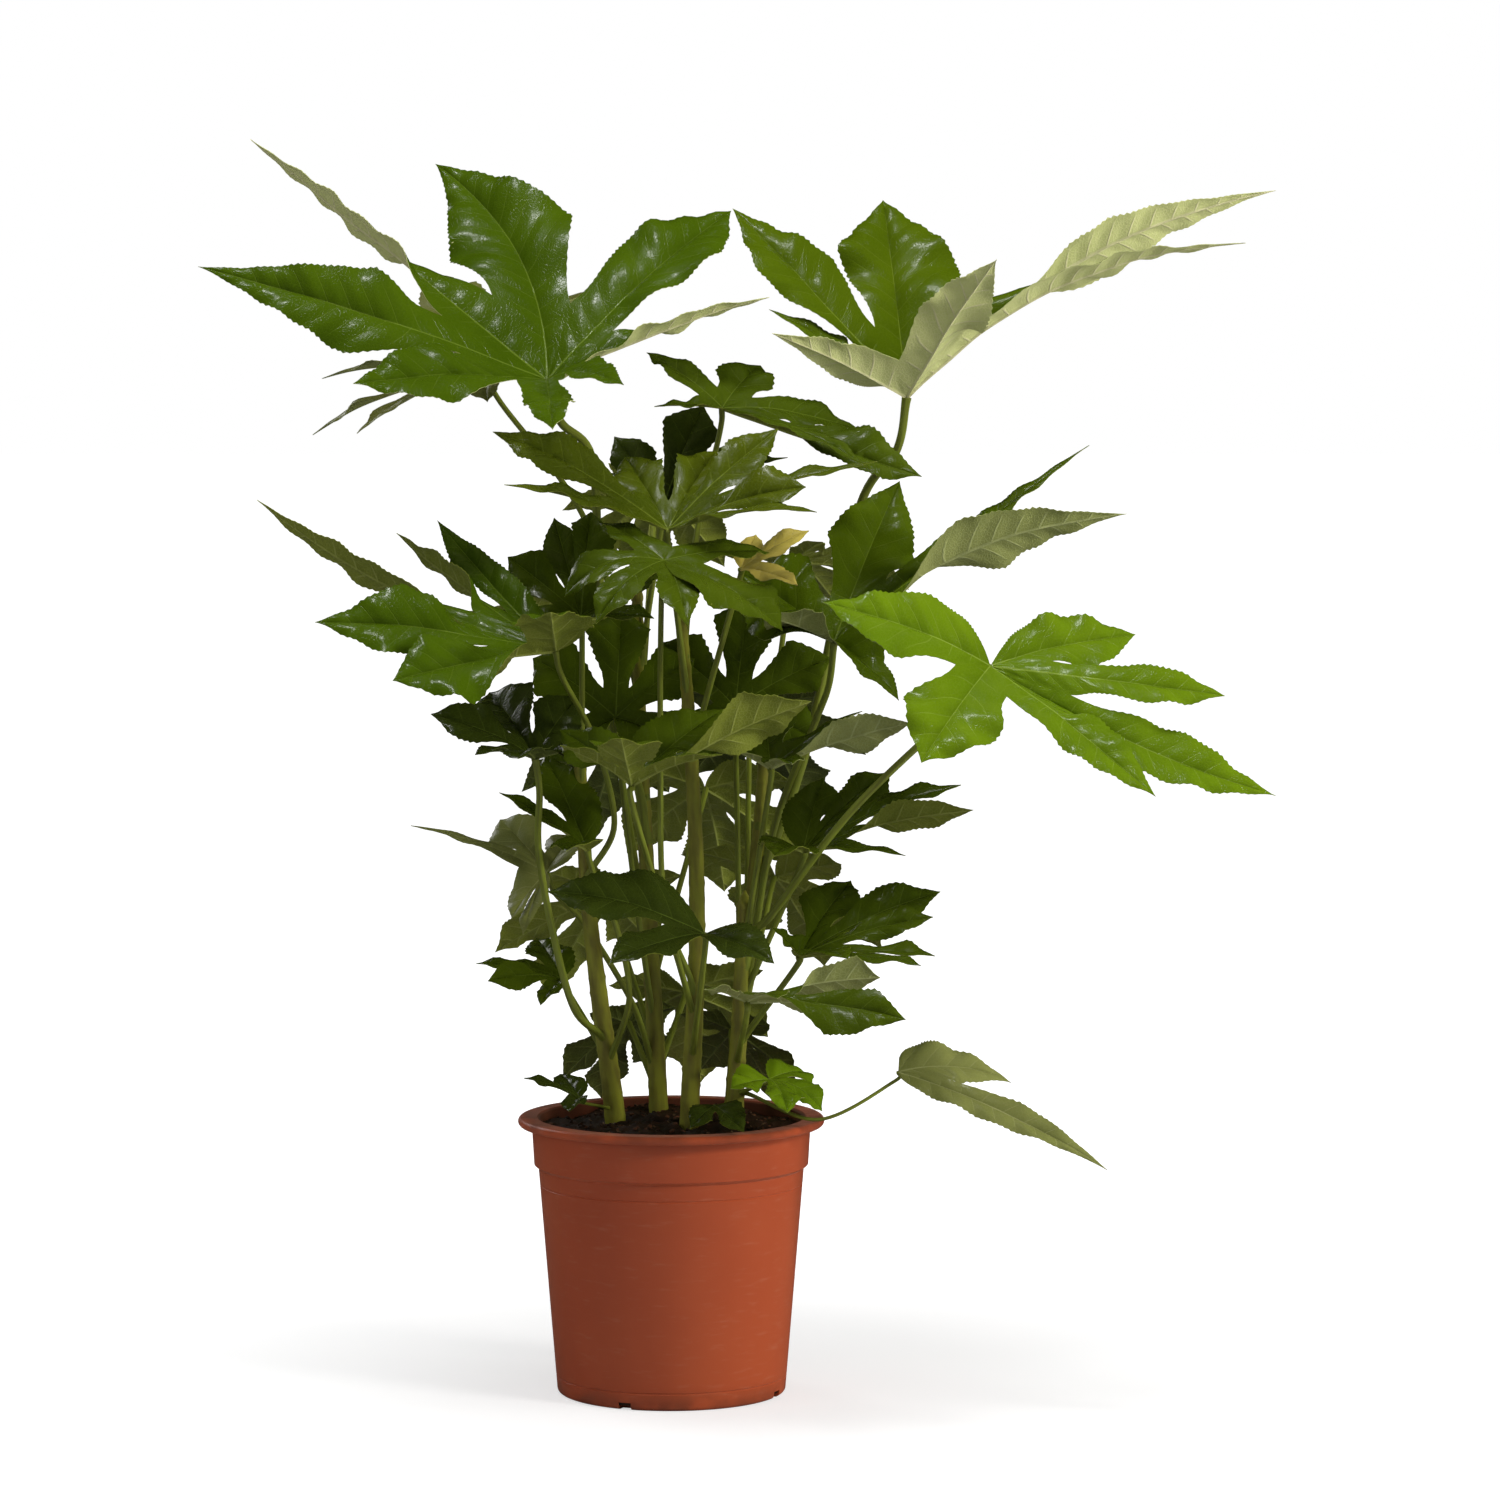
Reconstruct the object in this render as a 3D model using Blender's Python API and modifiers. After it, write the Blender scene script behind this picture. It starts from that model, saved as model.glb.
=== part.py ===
"""A fatsia japonica in its moulded nursery pot, about 0.86 m tall.

Metres, +Z up. The origin is the middle of the pot's flat bottom. +Y points away from the
side that is usually looked at, and +X to the right of it.

Every leaf is a set of lobes round one hub, on a petiole that leaves one of the woody stems.
The leaves that can be told apart are listed lobe by lobe in LEAVES; the ones that fill the
back and the middle of the bush grow by one rule, from GROWN.
"""

import math
import random

import bmesh
import bpy
from mathutils import Matrix, Vector

# Driving dimensions, in metres.
POT_HEIGHT = 0.190
RIM_RADIUS = 0.105
RIM_LIP = 0.006
RIM_STEP = 0.001
COLLAR_RADIUS = 0.0955
COLLAR_FOOT_RADIUS = 0.0940
COLLAR_DEPTH = 0.033
BODY_TOP_RADIUS = 0.0910
BASE_RADIUS = 0.0785
COLLAR_UNDERCUT = 0.002
BASE_ROUND = 0.003
POT_WALL = 0.0016
POT_FLOOR = 0.0025
DRAIN_HOLES = 4
DRAIN_WIDTH = 0.009
DRAIN_HEIGHT = 0.005
DRAIN_REACH = 0.012
FIRST_DRAIN_ANGLE = math.radians(247.0)
POT_SIDES = 36

SOIL_LEVEL = 0.1835
SOIL_LUMP = 0.0035
# How far the soil's middle stands over its level, and its edge below that, in lumps.
SOIL_CROWN = 0.6
SOIL_SAG = 0.8
# Ripples of the soil: how many round, how tight along the radius, turn, and strength.
SOIL_RIPPLES = ((3, 40, 0.0, 0.5), (7, -90, 1.3, 0.3), (11, 170, 0.4, 0.25))
SOIL_RINGS = (0.28, 0.52, 0.72, 0.88, 1.0)
STEM_DEPTH = 0.125
GAP = 0.0003

BLADE_THICKNESS = 0.0009
PETIOLE_THICKNESS = 0.0046
PETIOLE_NECK = 0.80
PETIOLE_SEGMENTS = 6
# How far a petiole runs on along its stem, and in line with its leaf, before it bends.
PETIOLE_LEAVES = 0.12
PETIOLE_ARRIVES = 0.10

# A lobe is joined to the next one up to this part of its length, and has its own full width
# a notch further out. By FACED it has turned the way its upper side looks.
JOINED = 0.33
NOTCH = 0.22
FACED = 0.55
STATIONS_LARGE = (0.0, 0.17, JOINED, 0.46, 0.60, 0.74, 0.88, 1.0)
STATIONS_MIDDLE = (0.0, JOINED, 0.52, 0.70, 0.87, 1.0)
STATIONS_SMALL = (0.0, JOINED, 0.58, 0.82, 1.0)
ROOM_USED = 0.9
LARGE_LEAF_REACH = 0.20
MIDDLE_LEAF_REACH = 0.125
SWELL = 1.45
BESIDE_GAP_SWELL = 0.6
TAPER = 1.25
WAVE = 0.10
FOLD = 0.14

MM = 0.001
WELD = 0.00001
POT_CREASE = math.radians(35)
STEM_CREASE = math.radians(50)


def clear_scene():
    for thing in list(bpy.data.objects):
        bpy.data.objects.remove(thing, do_unlink=True)


def new_collection(name):
    collection = bpy.data.collections.new(name)
    bpy.context.scene.collection.children.link(collection)
    return collection


def new_material(name, colour, roughness):
    material = bpy.data.materials.new(name)
    material.use_nodes = True
    shader = material.node_tree.nodes["Principled BSDF"]
    shader.inputs["Base Color"].default_value = (*colour, 1.0)
    shader.inputs["Roughness"].default_value = roughness
    return material


def new_object(name, mesh, collection, parent=None):
    thing = bpy.data.objects.new(name, mesh)
    collection.objects.link(thing)
    thing.parent = parent
    return thing


def keep_as_helper(thing):
    thing.hide_render = True
    thing.display_type = "WIRE"


def evaluated_mesh(thing):
    bpy.context.view_layer.update()
    graph = bpy.context.evaluated_depsgraph_get()
    return bpy.data.meshes.new_from_object(thing.evaluated_get(graph))


def remove_object(thing):
    data = thing.data
    bpy.data.objects.remove(thing, do_unlink=True)
    if isinstance(data, bpy.types.Mesh):
        bpy.data.meshes.remove(data)
    elif isinstance(data, bpy.types.Curve):
        bpy.data.curves.remove(data)


def apply_boolean(thing, other, operation, solver="EXACT"):
    """Joins other to the thing, or cuts it away, and applies the result."""
    modifier = thing.modifiers.new(operation.title(), "BOOLEAN")
    modifier.operation = operation
    modifier.solver = solver
    modifier.object = other
    mesh = evaluated_mesh(thing)
    thing.modifiers.clear()
    old = thing.data
    thing.data = mesh
    bpy.data.meshes.remove(old)


def triangulate(thing):
    """Cuts the faces into triangles so that no new edge lies where there is one already."""
    for method in ("BEAUTY", "EAR_CLIP"):
        shape = bmesh.new()
        shape.from_mesh(thing.data)
        bmesh.ops.triangulate(shape, faces=shape.faces, ngon_method=method)
        sound = all(len(edge.link_faces) == 2 for edge in shape.edges)
        if sound:
            shape.to_mesh(thing.data)
        shape.free()
        if sound:
            return


def smooth_points(points, count):
    """count + 1 points on a smooth curve through the given points."""
    points = [Vector(point) for point in points]
    before = points[0] * 2 - points[1]
    after = points[-1] * 2 - points[-2]
    padded = [before, *points, after]
    spans = len(points) - 1
    result = []
    for step in range(count + 1):
        place = step * spans / count
        span = min(int(place), spans - 1)
        t = place - span
        a, b, c, d = padded[span : span + 4]
        bend = (2 * b) + (c - a) * t + (2 * a - 5 * b + 4 * c - d) * t**2
        result.append(0.5 * (bend + (3 * b - a - 3 * c + d) * t**3))
    return result


def tube(name, points, radii, collection, sides_resolution):
    """A closed round tube through the points, as a mesh object at the origin."""
    curve = bpy.data.curves.new(name, "CURVE")
    curve.dimensions = "3D"
    curve.bevel_depth = 1.0
    curve.bevel_resolution = sides_resolution
    curve.use_fill_caps = True
    spline = curve.splines.new("POLY")
    spline.points.add(len(points) - 1)
    for spot, point, radius in zip(spline.points, points, radii):
        spot.co = (*point, 1.0)
        spot.radius = radius
    drawn = new_object(name + "_line", curve, collection)
    mesh = evaluated_mesh(drawn)
    remove_object(drawn)
    weld = bmesh.new()
    weld.from_mesh(mesh)
    bmesh.ops.remove_doubles(weld, verts=weld.verts, dist=WELD)
    bmesh.ops.recalc_face_normals(weld, faces=weld.faces)
    weld.to_mesh(mesh)
    weld.free()
    return new_object(name, mesh, collection)


def turned(name, profile, steps, collection):
    """A profile of (radius, height) points, turned about the Z axis."""
    mesh = bpy.data.meshes.new(name)
    points = [(radius, 0.0, height) for radius, height in profile]
    mesh.from_pydata(points, [(k, k + 1) for k in range(len(points) - 1)], [])
    thing = new_object(name, mesh, collection)
    screw = thing.modifiers.new("Turn", "SCREW")
    screw.steps = steps
    screw.render_steps = steps
    screw.use_merge_vertices = True
    screw.merge_threshold = WELD
    solid = evaluated_mesh(thing)
    thing.modifiers.clear()
    thing.data = solid
    bpy.data.meshes.remove(mesh)
    return thing


def arc(centre, radius, start, end, steps):
    """Points (radius, height) on an arc, with its angles in degrees."""
    points = []
    for step in range(steps + 1):
        angle = math.radians(start + (end - start) * step / steps)
        across = centre[0] + radius * math.cos(angle)
        points.append((across, centre[1] + radius * math.sin(angle)))
    return points


def pot_inner_radius(height):
    """The inside of the pot's wall at this height."""
    shoulder = POT_HEIGHT - COLLAR_DEPTH
    if height > shoulder:
        return BODY_TOP_RADIUS - POT_WALL
    slope = (BODY_TOP_RADIUS - BASE_RADIUS) / shoulder
    return BASE_RADIUS + slope * height - POT_WALL


def pot_profile():
    """From the middle of the inside, up over the rim, down the outside, to the middle below."""
    shoulder = POT_HEIGHT - COLLAR_DEPTH
    lip_middle = POT_HEIGHT - RIM_LIP / 2
    profile = [(0.0, POT_FLOOR)]
    profile.append((pot_inner_radius(POT_FLOOR), POT_FLOOR))
    profile.append((pot_inner_radius(shoulder), shoulder))
    profile.append((BODY_TOP_RADIUS - POT_WALL, POT_HEIGHT - RIM_LIP))
    profile.append((BODY_TOP_RADIUS + RIM_STEP, POT_HEIGHT))
    profile += arc((RIM_RADIUS - RIM_LIP / 2, lip_middle), RIM_LIP / 2, 90, -60, 4)
    profile.append((COLLAR_RADIUS, POT_HEIGHT - RIM_LIP - RIM_STEP))
    profile.append((COLLAR_FOOT_RADIUS, shoulder))
    profile.append((BODY_TOP_RADIUS, shoulder - COLLAR_UNDERCUT))
    corner = (BASE_RADIUS - BASE_ROUND, BASE_ROUND)
    profile += arc(corner, BASE_ROUND, 0, -90, 2)
    profile.append((0.0, 0.0))
    return profile


def build_pot(collection, helpers, parent, material):
    pot = turned("pot", pot_profile(), POT_SIDES, collection)
    pot.parent = parent
    cutter_mesh = bpy.data.meshes.new("drain_cutters")
    shapes = bmesh.new()
    for number in range(DRAIN_HOLES):
        angle = FIRST_DRAIN_ANGLE + number * math.tau / DRAIN_HOLES
        turn = Matrix.Rotation(angle, 4, "Z")
        reach = Matrix.Translation((BASE_RADIUS - DRAIN_REACH / 6, 0.0, 0.0))
        size = Matrix.Diagonal((DRAIN_REACH, DRAIN_WIDTH, 2 * DRAIN_HEIGHT, 1.0))
        bmesh.ops.create_cube(shapes, size=1.0, matrix=turn @ reach @ size)
    shapes.to_mesh(cutter_mesh)
    shapes.free()
    cutter = new_object("drain_cutters", cutter_mesh, helpers)
    apply_boolean(pot, cutter, "DIFFERENCE")
    remove_object(cutter)
    pot.data.materials.clear()
    pot.data.materials.append(material)
    pot.data.shade_smooth()
    pot.data.set_sharp_from_angle(angle=POT_CREASE)
    return pot


STEMS = {
    "stem_left": {
        "line": [(-34, 12, 150), (-40, 8, 200), (-49, 2, 270), (-57, -4, 345), (-62, -10, 440)],
        "thick": (8.0, 4.0),
    },
    "stem_centre": {
        "line": [(10, -12, 150), (13, -14, 200), (18, -14, 320), (14, -10, 440), (6, -14, 545)],
        "thick": (7.5, 3.6),
    },
    "stem_right": {
        "line": [(42, -20, 150), (44, -22, 200), (47, -26, 265), (50, -28, 335)],
        "thick": (6.5, 4.6),
    },
    "stem_back": {
        "line": [(-8, 48, 150), (-10, 50, 200), (-16, 58, 320), (-22, 62, 450), (-24, 60, 540)],
        "thick": (7.5, 3.6),
    },
    "stem_back_right": {
        "line": [(40, 34, 150), (43, 38, 200), (52, 46, 300), (60, 50, 380), (64, 50, 440)],
        "thick": (7.0, 3.6),
    },
}

STEM_RINGS = 10


def stem_axis(name):
    spec = STEMS[name]
    line = [Vector(point) * MM for point in spec["line"]]
    line[0].z = STEM_DEPTH
    return smooth_points(line, STEM_RINGS)


def stem_radii(name, extra=0.0):
    low, high = (value * MM for value in STEMS[name]["thick"])
    radii = []
    for ring in range(STEM_RINGS + 1):
        part = ring / STEM_RINGS
        radii.append(low + (high - low) * part + extra)
    return radii


def point_on_stem(name, height):
    """The middle of the stem at this height in millimetres, and the stem's direction there."""
    axis = stem_axis(name)
    level = height * MM
    for lower, upper in zip(axis, axis[1:]):
        if lower.z <= level <= upper.z:
            part = (level - lower.z) / (upper.z - lower.z)
            return lower.lerp(upper, part), (upper - lower).normalized()
    return axis[-1].copy(), (axis[-1] - axis[-2]).normalized()


def build_stems(collection, helpers, parent, material):
    """The stems, and for each a slightly fatter copy that cuts what stands against it."""
    stems = {}
    clearances = {}
    for name in STEMS:
        axis = stem_axis(name)
        stem = tube(name, axis, stem_radii(name), collection, 2)
        stem.parent = parent
        stem.data.materials.append(material)
        stem.data.shade_smooth()
        stem.data.set_sharp_from_angle(angle=STEM_CREASE)
        stems[name] = stem
        longer = [axis[0] - Vector((0, 0, GAP)), *axis[1:-1]]
        longer.append(axis[-1] + (axis[-1] - axis[-2]).normalized() * GAP)
        clearance = tube(name + "_clearance", longer, stem_radii(name, GAP), helpers, 2)
        keep_as_helper(clearance)
        clearances[name] = clearance
    return stems, clearances


def soil_height(radius, angle):
    """The height of the soil's lumpy top, lower towards the pot's wall."""
    lumps = SOIL_CROWN - SOIL_SAG * (radius / RIM_RADIUS) ** 2
    for around, along, turn, strength in SOIL_RIPPLES:
        lumps += math.sin(around * angle + along * radius + turn) * strength
    return SOIL_LEVEL + SOIL_LUMP * lumps


def build_soil(collection, clearances, parent, material):
    sides = POT_SIDES
    top_radius = pot_inner_radius(SOIL_LEVEL) - GAP
    floor = POT_FLOOR + GAP
    shape = bmesh.new()
    middle = shape.verts.new((0, 0, soil_height(0, 0)))
    loops = []
    for part in SOIL_RINGS:
        loop = []
        for side in range(sides):
            angle = side * math.tau / sides
            radius = part * top_radius
            place = (radius * math.cos(angle), radius * math.sin(angle), soil_height(radius, angle))
            loop.append(shape.verts.new(place))
        loops.append(loop)
    shoulder = POT_HEIGHT - COLLAR_DEPTH
    for height in (shoulder, floor):
        radius = pot_inner_radius(height) - GAP
        loop = []
        for side in range(sides):
            angle = side * math.tau / sides
            loop.append(shape.verts.new((radius * math.cos(angle), radius * math.sin(angle), height)))
        loops.append(loop)
    bottom = shape.verts.new((0, 0, floor))
    for side in range(sides):
        following = (side + 1) % sides
        shape.faces.new((middle, loops[0][side], loops[0][following]))
        for inner, outer in zip(loops, loops[1:]):
            shape.faces.new((inner[side], outer[side], outer[following], inner[following]))
        shape.faces.new((bottom, loops[-1][following], loops[-1][side]))
    bmesh.ops.triangulate(shape, faces=shape.faces)
    mesh = bpy.data.meshes.new("soil")
    shape.to_mesh(mesh)
    shape.free()
    soil = new_object("soil", mesh, collection, parent)
    for clearance in clearances.values():
        apply_boolean(soil, clearance, "DIFFERENCE")
    soil.data.materials.clear()
    soil.data.materials.append(material)
    return soil


def lobe(right, away, up, width=0.18, arch=0.10, face=None, swell=SWELL, sweep=0.0):
    """One lobe: its tip from the leaf's hub in millimetres, its half width and its bulge as
    parts of its length, and the way its upper side looks by its middle, if that is not the
    way the whole leaf faces. A larger swell puts its widest part nearer the tip, and sweep
    bends its midrib to the left, looking out from the hub."""
    return {
        "tip": Vector((right, away, up)) * MM,
        "width": width,
        "arch": arch,
        "face": Vector(face).normalized() if face else None,
        "swell": swell,
        "sweep": sweep,
    }


# Each leaf's lobes run anticlockwise, seen from above, from one side of the petiole's gap to
# the other. The stem's number is the height in millimetres where the petiole leaves it.
TO_FRONT = (0.0, -1.0, 0.5)
TO_BACK = (0.0, 1.0, 0.5)

LEAVES = {
    "leaf_top_left": {
        "hub": (-83, -20, 693),
        "facing": (-0.10, -0.45, 1.0),
        "stem": ("stem_back", 372),
        "via": [(-40, 54, 450), (-50, 44, 560), (-54, 18, 640)],
        "petiole": 0.0070,
        "tone": "leaf",
        "lobes": [
            lobe(150, 10, 56, 0.09, 0.06, (0.0, 0.35, 1.0)),
            lobe(124, 80, 116, 0.19, 0.10, (-0.4, -1.0, 0.8), 2.2, -0.04),
            lobe(-82, 120, 150, 0.25, 0.06, (0.1, -1.0, 0.3), 0.8, -0.20),
            lobe(-207, 80, 165, 0.055, 0.0, (0.2, 0.6, 1.0)),
            lobe(-233, -20, 76, 0.18, 0.05, (-0.1, -1.0, 0.5), 0.45, 0.03),
            lobe(-126, -66, -2, 0.20, 0.06, (0.0, -0.8, 0.8)),
            lobe(8, -110, -33, 0.15, 0.10),
            lobe(54, -90, -3, 0.18, 0.14),
        ],
    },
    "leaf_top_left_back": {
        "hub": (-130, 90, 702),
        "facing": (-0.2, 0.0, 1.0),
        "stem": ("stem_back", 470),
        "via": [(-62, 66, 600)],
        "tone": "leaf",
        "lobes": [
            lobe(85, 60, 58, 0.20),
            lobe(-40, 75, 66, 0.24),
            lobe(-115, 15, -8, 0.15),
            lobe(-118, -30, -47, 0.13),
            lobe(-85, -60, -46, 0.15),
            lobe(5, -75, -24, 0.22),
        ],
    },
    "leaf_top_right": {
        "hub": (161, 20, 681),
        "facing": (0.0, 0.05, 1.0),
        "stem": ("stem_back_right", 300),
        "via": [(94, 64, 440), (128, 62, 600)],
        "petiole": 0.0070,
        "tone": "leaf",
        "lobes": [
            lobe(-92, -25, 44, 0.16, 0.04, (0.0, 1.0, 0.8), 0.7),
            lobe(58, -70, 92, 0.19, 0.04, (0.0, 1.0, 0.5), 1.0),
            lobe(228, -30, 104, 0.095, 0.20, (0.0, 0.3, 1.0), 0.6),
            lobe(254, 30, 142, 0.115, 0.16, (0.0, 1.0, 0.6), 0.3),
            lobe(-14, 100, 137, 0.27, 0.04, (0.0, -1.0, 0.3)),
            lobe(-119, 70, 131, 0.18, 0.04, (0.5, -1.0, 0.4), 1.0, 0.07),
            lobe(-94, 25, 60, 0.10, 0.06, (0.2, -0.6, 1.0)),
        ],
    },
    "leaf_crown_back": {
        "hub": (35, 14, 674),
        "facing": (0.0, -0.25, 1.0),
        "stem": ("stem_centre", 500),
        "via": [(18, 10, 590)],
        "tone": "leaf_young",
        "lobes": [
            lobe(102, -50, -42, 0.09),
            lobe(135, -40, -46, 0.18, -0.02, (0.1, -0.9, 0.8)),
            lobe(93, 20, -14, 0.18, 0.10, (0.1, -0.7, 1.0)),
            lobe(26, 60, 28, 0.30, 0.10, (0.0, -0.8, 0.8)),
            lobe(-52, 30, 38, 0.22),
            lobe(-46, -12, 0, 0.16),
        ],
    },
    "leaf_crown": {
        "hub": (-1, -60, 593),
        "facing": (0.0, -0.25, 1.0),
        "stem": ("stem_centre", 470),
        "tone": "leaf_young",
        "lobes": [
            lobe(99, -65, 14, 0.11),
            lobe(92, -38, 30, 0.28, 0.08, (0.0, -1.0, 0.8)),
            lobe(140, -4, 46, 0.08),
            lobe(74, 35, 68, 0.20, 0.04, (-0.5, -1.0, 0.3)),
            lobe(32, 60, 52, 0.30, 0.04, TO_FRONT),
            lobe(-30, 60, 48, 0.32, 0.04, TO_FRONT),
            lobe(-118, 25, 66, 0.17, 0.08, (0.0, -0.7, 1.0)),
            lobe(-108, -30, 31, 0.13, 0.08),
        ],
    },
    "leaf_crown_dark": {
        "hub": (-6, 42, 606),
        "facing": (0.0, -0.2, 1.0),
        "stem": ("stem_back", 480),
        "tone": "leaf",
        "lobes": [
            lobe(86, 0, 34, 0.24),
            lobe(70, 50, 40, 0.26),
            lobe(28, 24, 70, 0.34, 0.04, TO_FRONT),
            lobe(-34, 26, 48, 0.28, 0.04, TO_FRONT),
            lobe(-36, -10, 24, 0.34),
        ],
    },
    "leaf_middle_dark": {
        "hub": (44, 36, 468),
        "facing": (0.0, -0.3, 1.0),
        "stem": ("stem_back_right", 236),
        "via": [(46, 24, 345)],
        "tone": "leaf",
        "lobes": [
            lobe(56, -8, -22, 0.36, 0.08, TO_FRONT),
            lobe(66, 4, 34, 0.36, 0.08, TO_FRONT),
            lobe(10, 20, 74, 0.42, 0.08, TO_FRONT),
            lobe(-52, 14, 44, 0.38, 0.08, TO_FRONT),
            lobe(-40, -4, -34, 0.40, 0.08, TO_FRONT),
        ],
    },
    "leaf_middle_left": {
        "hub": (-38, 22, 462),
        "facing": (0.0, -0.3, 1.0),
        "stem": ("stem_back", 222),
        "via": [(-24, 38, 330)],
        "tone": "leaf",
        "lobes": [
            lobe(50, -26, -20, 0.34, 0.08, TO_FRONT),
            lobe(54, 10, 40, 0.40, 0.08, TO_FRONT),
            lobe(4, 16, 74, 0.44, 0.08, TO_FRONT),
            lobe(-58, 20, 40, 0.42, 0.08, TO_FRONT),
            lobe(-48, 10, -30, 0.40, 0.08, TO_FRONT),
        ],
    },
    "leaf_yellow": {
        "hub": (48, -30, 566),
        "facing": (0.1, -0.6, 1.0),
        "stem": ("stem_centre", 430),
        "tone": "leaf_yellow",
        "lobes": [
            lobe(38, -40, -10, 0.20),
            lobe(46, 5, 26, 0.22),
            lobe(10, 30, 22, 0.24),
        ],
    },
    "leaf_inner_left": {
        "hub": (-60, -34, 534),
        "facing": (-0.1, -0.3, 1.0),
        "stem": ("stem_left", 400),
        "tone": "leaf",
        "lobes": [
            lobe(50, -30, 0, 0.24),
            lobe(56, 34, 30, 0.30),
            lobe(6, 32, 70, 0.36, 0.04, TO_FRONT),
            lobe(-20, 50, 66, 0.18, 0.04, TO_FRONT),
            lobe(-50, 12, 40, 0.36, 0.04, TO_FRONT),
            lobe(-66, -28, -4, 0.22),
        ],
    },
    "leaf_inner_front": {
        "hub": (-3, -94, 574),
        "facing": (0.1, -0.25, 1.0),
        "stem": ("stem_centre", 240),
        "via": [(-4, -40, 340), (-6, -66, 450)],
        "tone": "leaf_young",
        "lobes": [
            lobe(78, -20, -46, 0.34, 0.14, (0.3, -0.6, 1.0)),
            lobe(70, 30, 4, 0.26),
            lobe(-44, 34, 24, 0.24),
            lobe(-66, 0, -24, 0.28, 0.34, (-0.2, -0.7, 1.0)),
            lobe(-44, -42, -40, 0.24, 0.24),
            lobe(16, -58, -42, 0.22, 0.20),
        ],
    },
    "leaf_left": {
        "hub": (-75, -95, 514),
        "facing": (-0.1, -0.30, 1.0),
        "stem": ("stem_left", 330),
        "via": [(-38, -28, 392), (-50, -50, 450)],
        "tone": "leaf",
        "lobes": [
            lobe(-84, 98, 84, 0.10, -0.04, TO_FRONT),
            lobe(-110, 75, 76, 0.10, -0.04, (0.2, 0.8, 0.9)),
            lobe(-202, 48, 99, 0.065, -0.12, (0.2, 0.8, 0.9), 1.2),
            lobe(-158, -18, 20, 0.30, 0.06, (0.0, -1.0, 0.7), 0.55),
            lobe(-104, -62, -16, 0.28, 0.04, (0.0, -1.0, 0.7)),
            lobe(0, -84, 30, 0.30, 0.06, None, 1.2),
        ],
    },
    "leaf_left_dark": {
        "hub": (-90, -62, 440),
        "facing": (-0.2, -0.3, 1.0),
        "stem": ("stem_left", 214),
        "via": [(-65, -36, 268), (-79, -50, 322), (-88, -60, 378)],
        "petiole": 0.0056,
        "tone": "leaf",
        "lobes": [
            lobe(28, 20, 40, 0.40, 0.10, TO_FRONT),
            lobe(-34, 70, 40, 0.42, 0.10, TO_FRONT),
            lobe(-70, 0, 30, 0.28, 0.10, (-0.2, -0.8, 1.0)),
            lobe(-38, -48, 6, 0.22),
            lobe(-8, -78, 6, 0.26),
            lobe(58, -40, 8, 0.28),
        ],
    },
    "leaf_front": {
        "hub": (-24, -128, 427),
        "facing": (0.0, 0.05, 1.0),
        "stem": ("stem_centre", 245),
        "tone": "leaf",
        "lobes": [
            lobe(-48, 32, 34, 0.30, 0.08, TO_FRONT),
            lobe(-46, -30, 28, 0.30),
            lobe(-5, -78, 36, 0.38, 0.04),
            lobe(60, -42, 24, 0.24),
            lobe(118, 0, 56, 0.22, 0.04, (0.1, 0.8, 0.8)),
            lobe(60, 60, 46, 0.24, 0.08, TO_FRONT),
        ],
    },
    "leaf_right": {
        "hub": (111, -20, 516),
        "facing": (0.0, -0.12, 1.0),
        "stem": ("stem_right", 228),
        "via": [(58, 2, 320), (72, 10, 392), (98, -8, 460)],
        "petiole": 0.0056,
        "tone": "leaf",
        "lobes": [
            lobe(-50, -45, 20, 0.38, 0.06, (0.0, 0.3, 1.0)),
            lobe(42, -66, -36, 0.13),
            lobe(197, -15, 87, 0.165, 0.19, (0.0, 1.0, 0.6), 0.35, -0.05),
            lobe(176, 55, 132, 0.08, 0.02, (0.0, -0.2, 1.0), 0.5),
            lobe(46, 60, 108, 0.24, 0.04, (0.0, -1.0, 0.3), 1.2),
            lobe(-64, 40, 46, 0.42, 0.06, TO_FRONT),
        ],
    },
    "leaf_right_bright": {
        "hub": (214, -80, 503),
        "facing": (0.10, -0.75, 0.70),
        "stem": ("stem_right", 292),
        "via": [(70, -46, 335), (124, -74, 408)],
        "petiole": 0.0056,
        "tone": "leaf_young",
        "lobes": [
            lobe(-112, -22, 43, 0.24, 0.12),
            lobe(-48, -70, -59, 0.34, 0.10),
            lobe(104, -88, -80, 0.12, 0.04),
            lobe(184, -66, -82, 0.115, 0.03, None, SWELL, -0.11),
            lobe(154, -30, -18, 0.10, 0.10, None, 2.6, -0.08),
            lobe(98, 18, 20, 0.25, 0.10, None, 1.8),
        ],
    },
    "leaf_right_inner": {
        "hub": (68, -50, 432),
        "facing": (0.0, 0.0, 1.0),
        "stem": ("stem_right", 290),
        "tone": "leaf",
        "lobes": [
            lobe(-52, -8, 22, 0.24),
            lobe(14, -64, 8, 0.22),
            lobe(94, -20, 32, 0.16, 0.08, TO_BACK),
            lobe(62, 20, 38, 0.14),
            lobe(-6, 70, 44, 0.26, 0.08, TO_FRONT),
        ],
    },
    "leaf_right_middle": {
        "hub": (90, -28, 374),
        "facing": (0.0, -0.3, 1.0),
        "stem": ("stem_right", 260),
        "tone": "leaf",
        "lobes": [
            lobe(-20, -76, 4, 0.28),
            lobe(68, -52, 2, 0.08),
            lobe(114, -38, 32, 0.12, 0.08, TO_BACK),
            lobe(107, -4, 46, 0.18),
            lobe(60, 60, 50, 0.26),
            lobe(14, 50, 46, 0.28, 0.08, TO_FRONT),
        ],
    },
    "leaf_right_low": {
        "hub": (87, -62, 306),
        "facing": (0.1, -0.3, 1.0),
        "stem": ("stem_right", 235),
        "tone": "leaf",
        "lobes": [
            lobe(32, -58, 6, 0.24),
            lobe(80, -58, 0, 0.16),
            lobe(90, -42, 4, 0.18),
            lobe(90, -10, 28, 0.20, 0.10, (0.1, -0.8, 0.8)),
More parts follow.
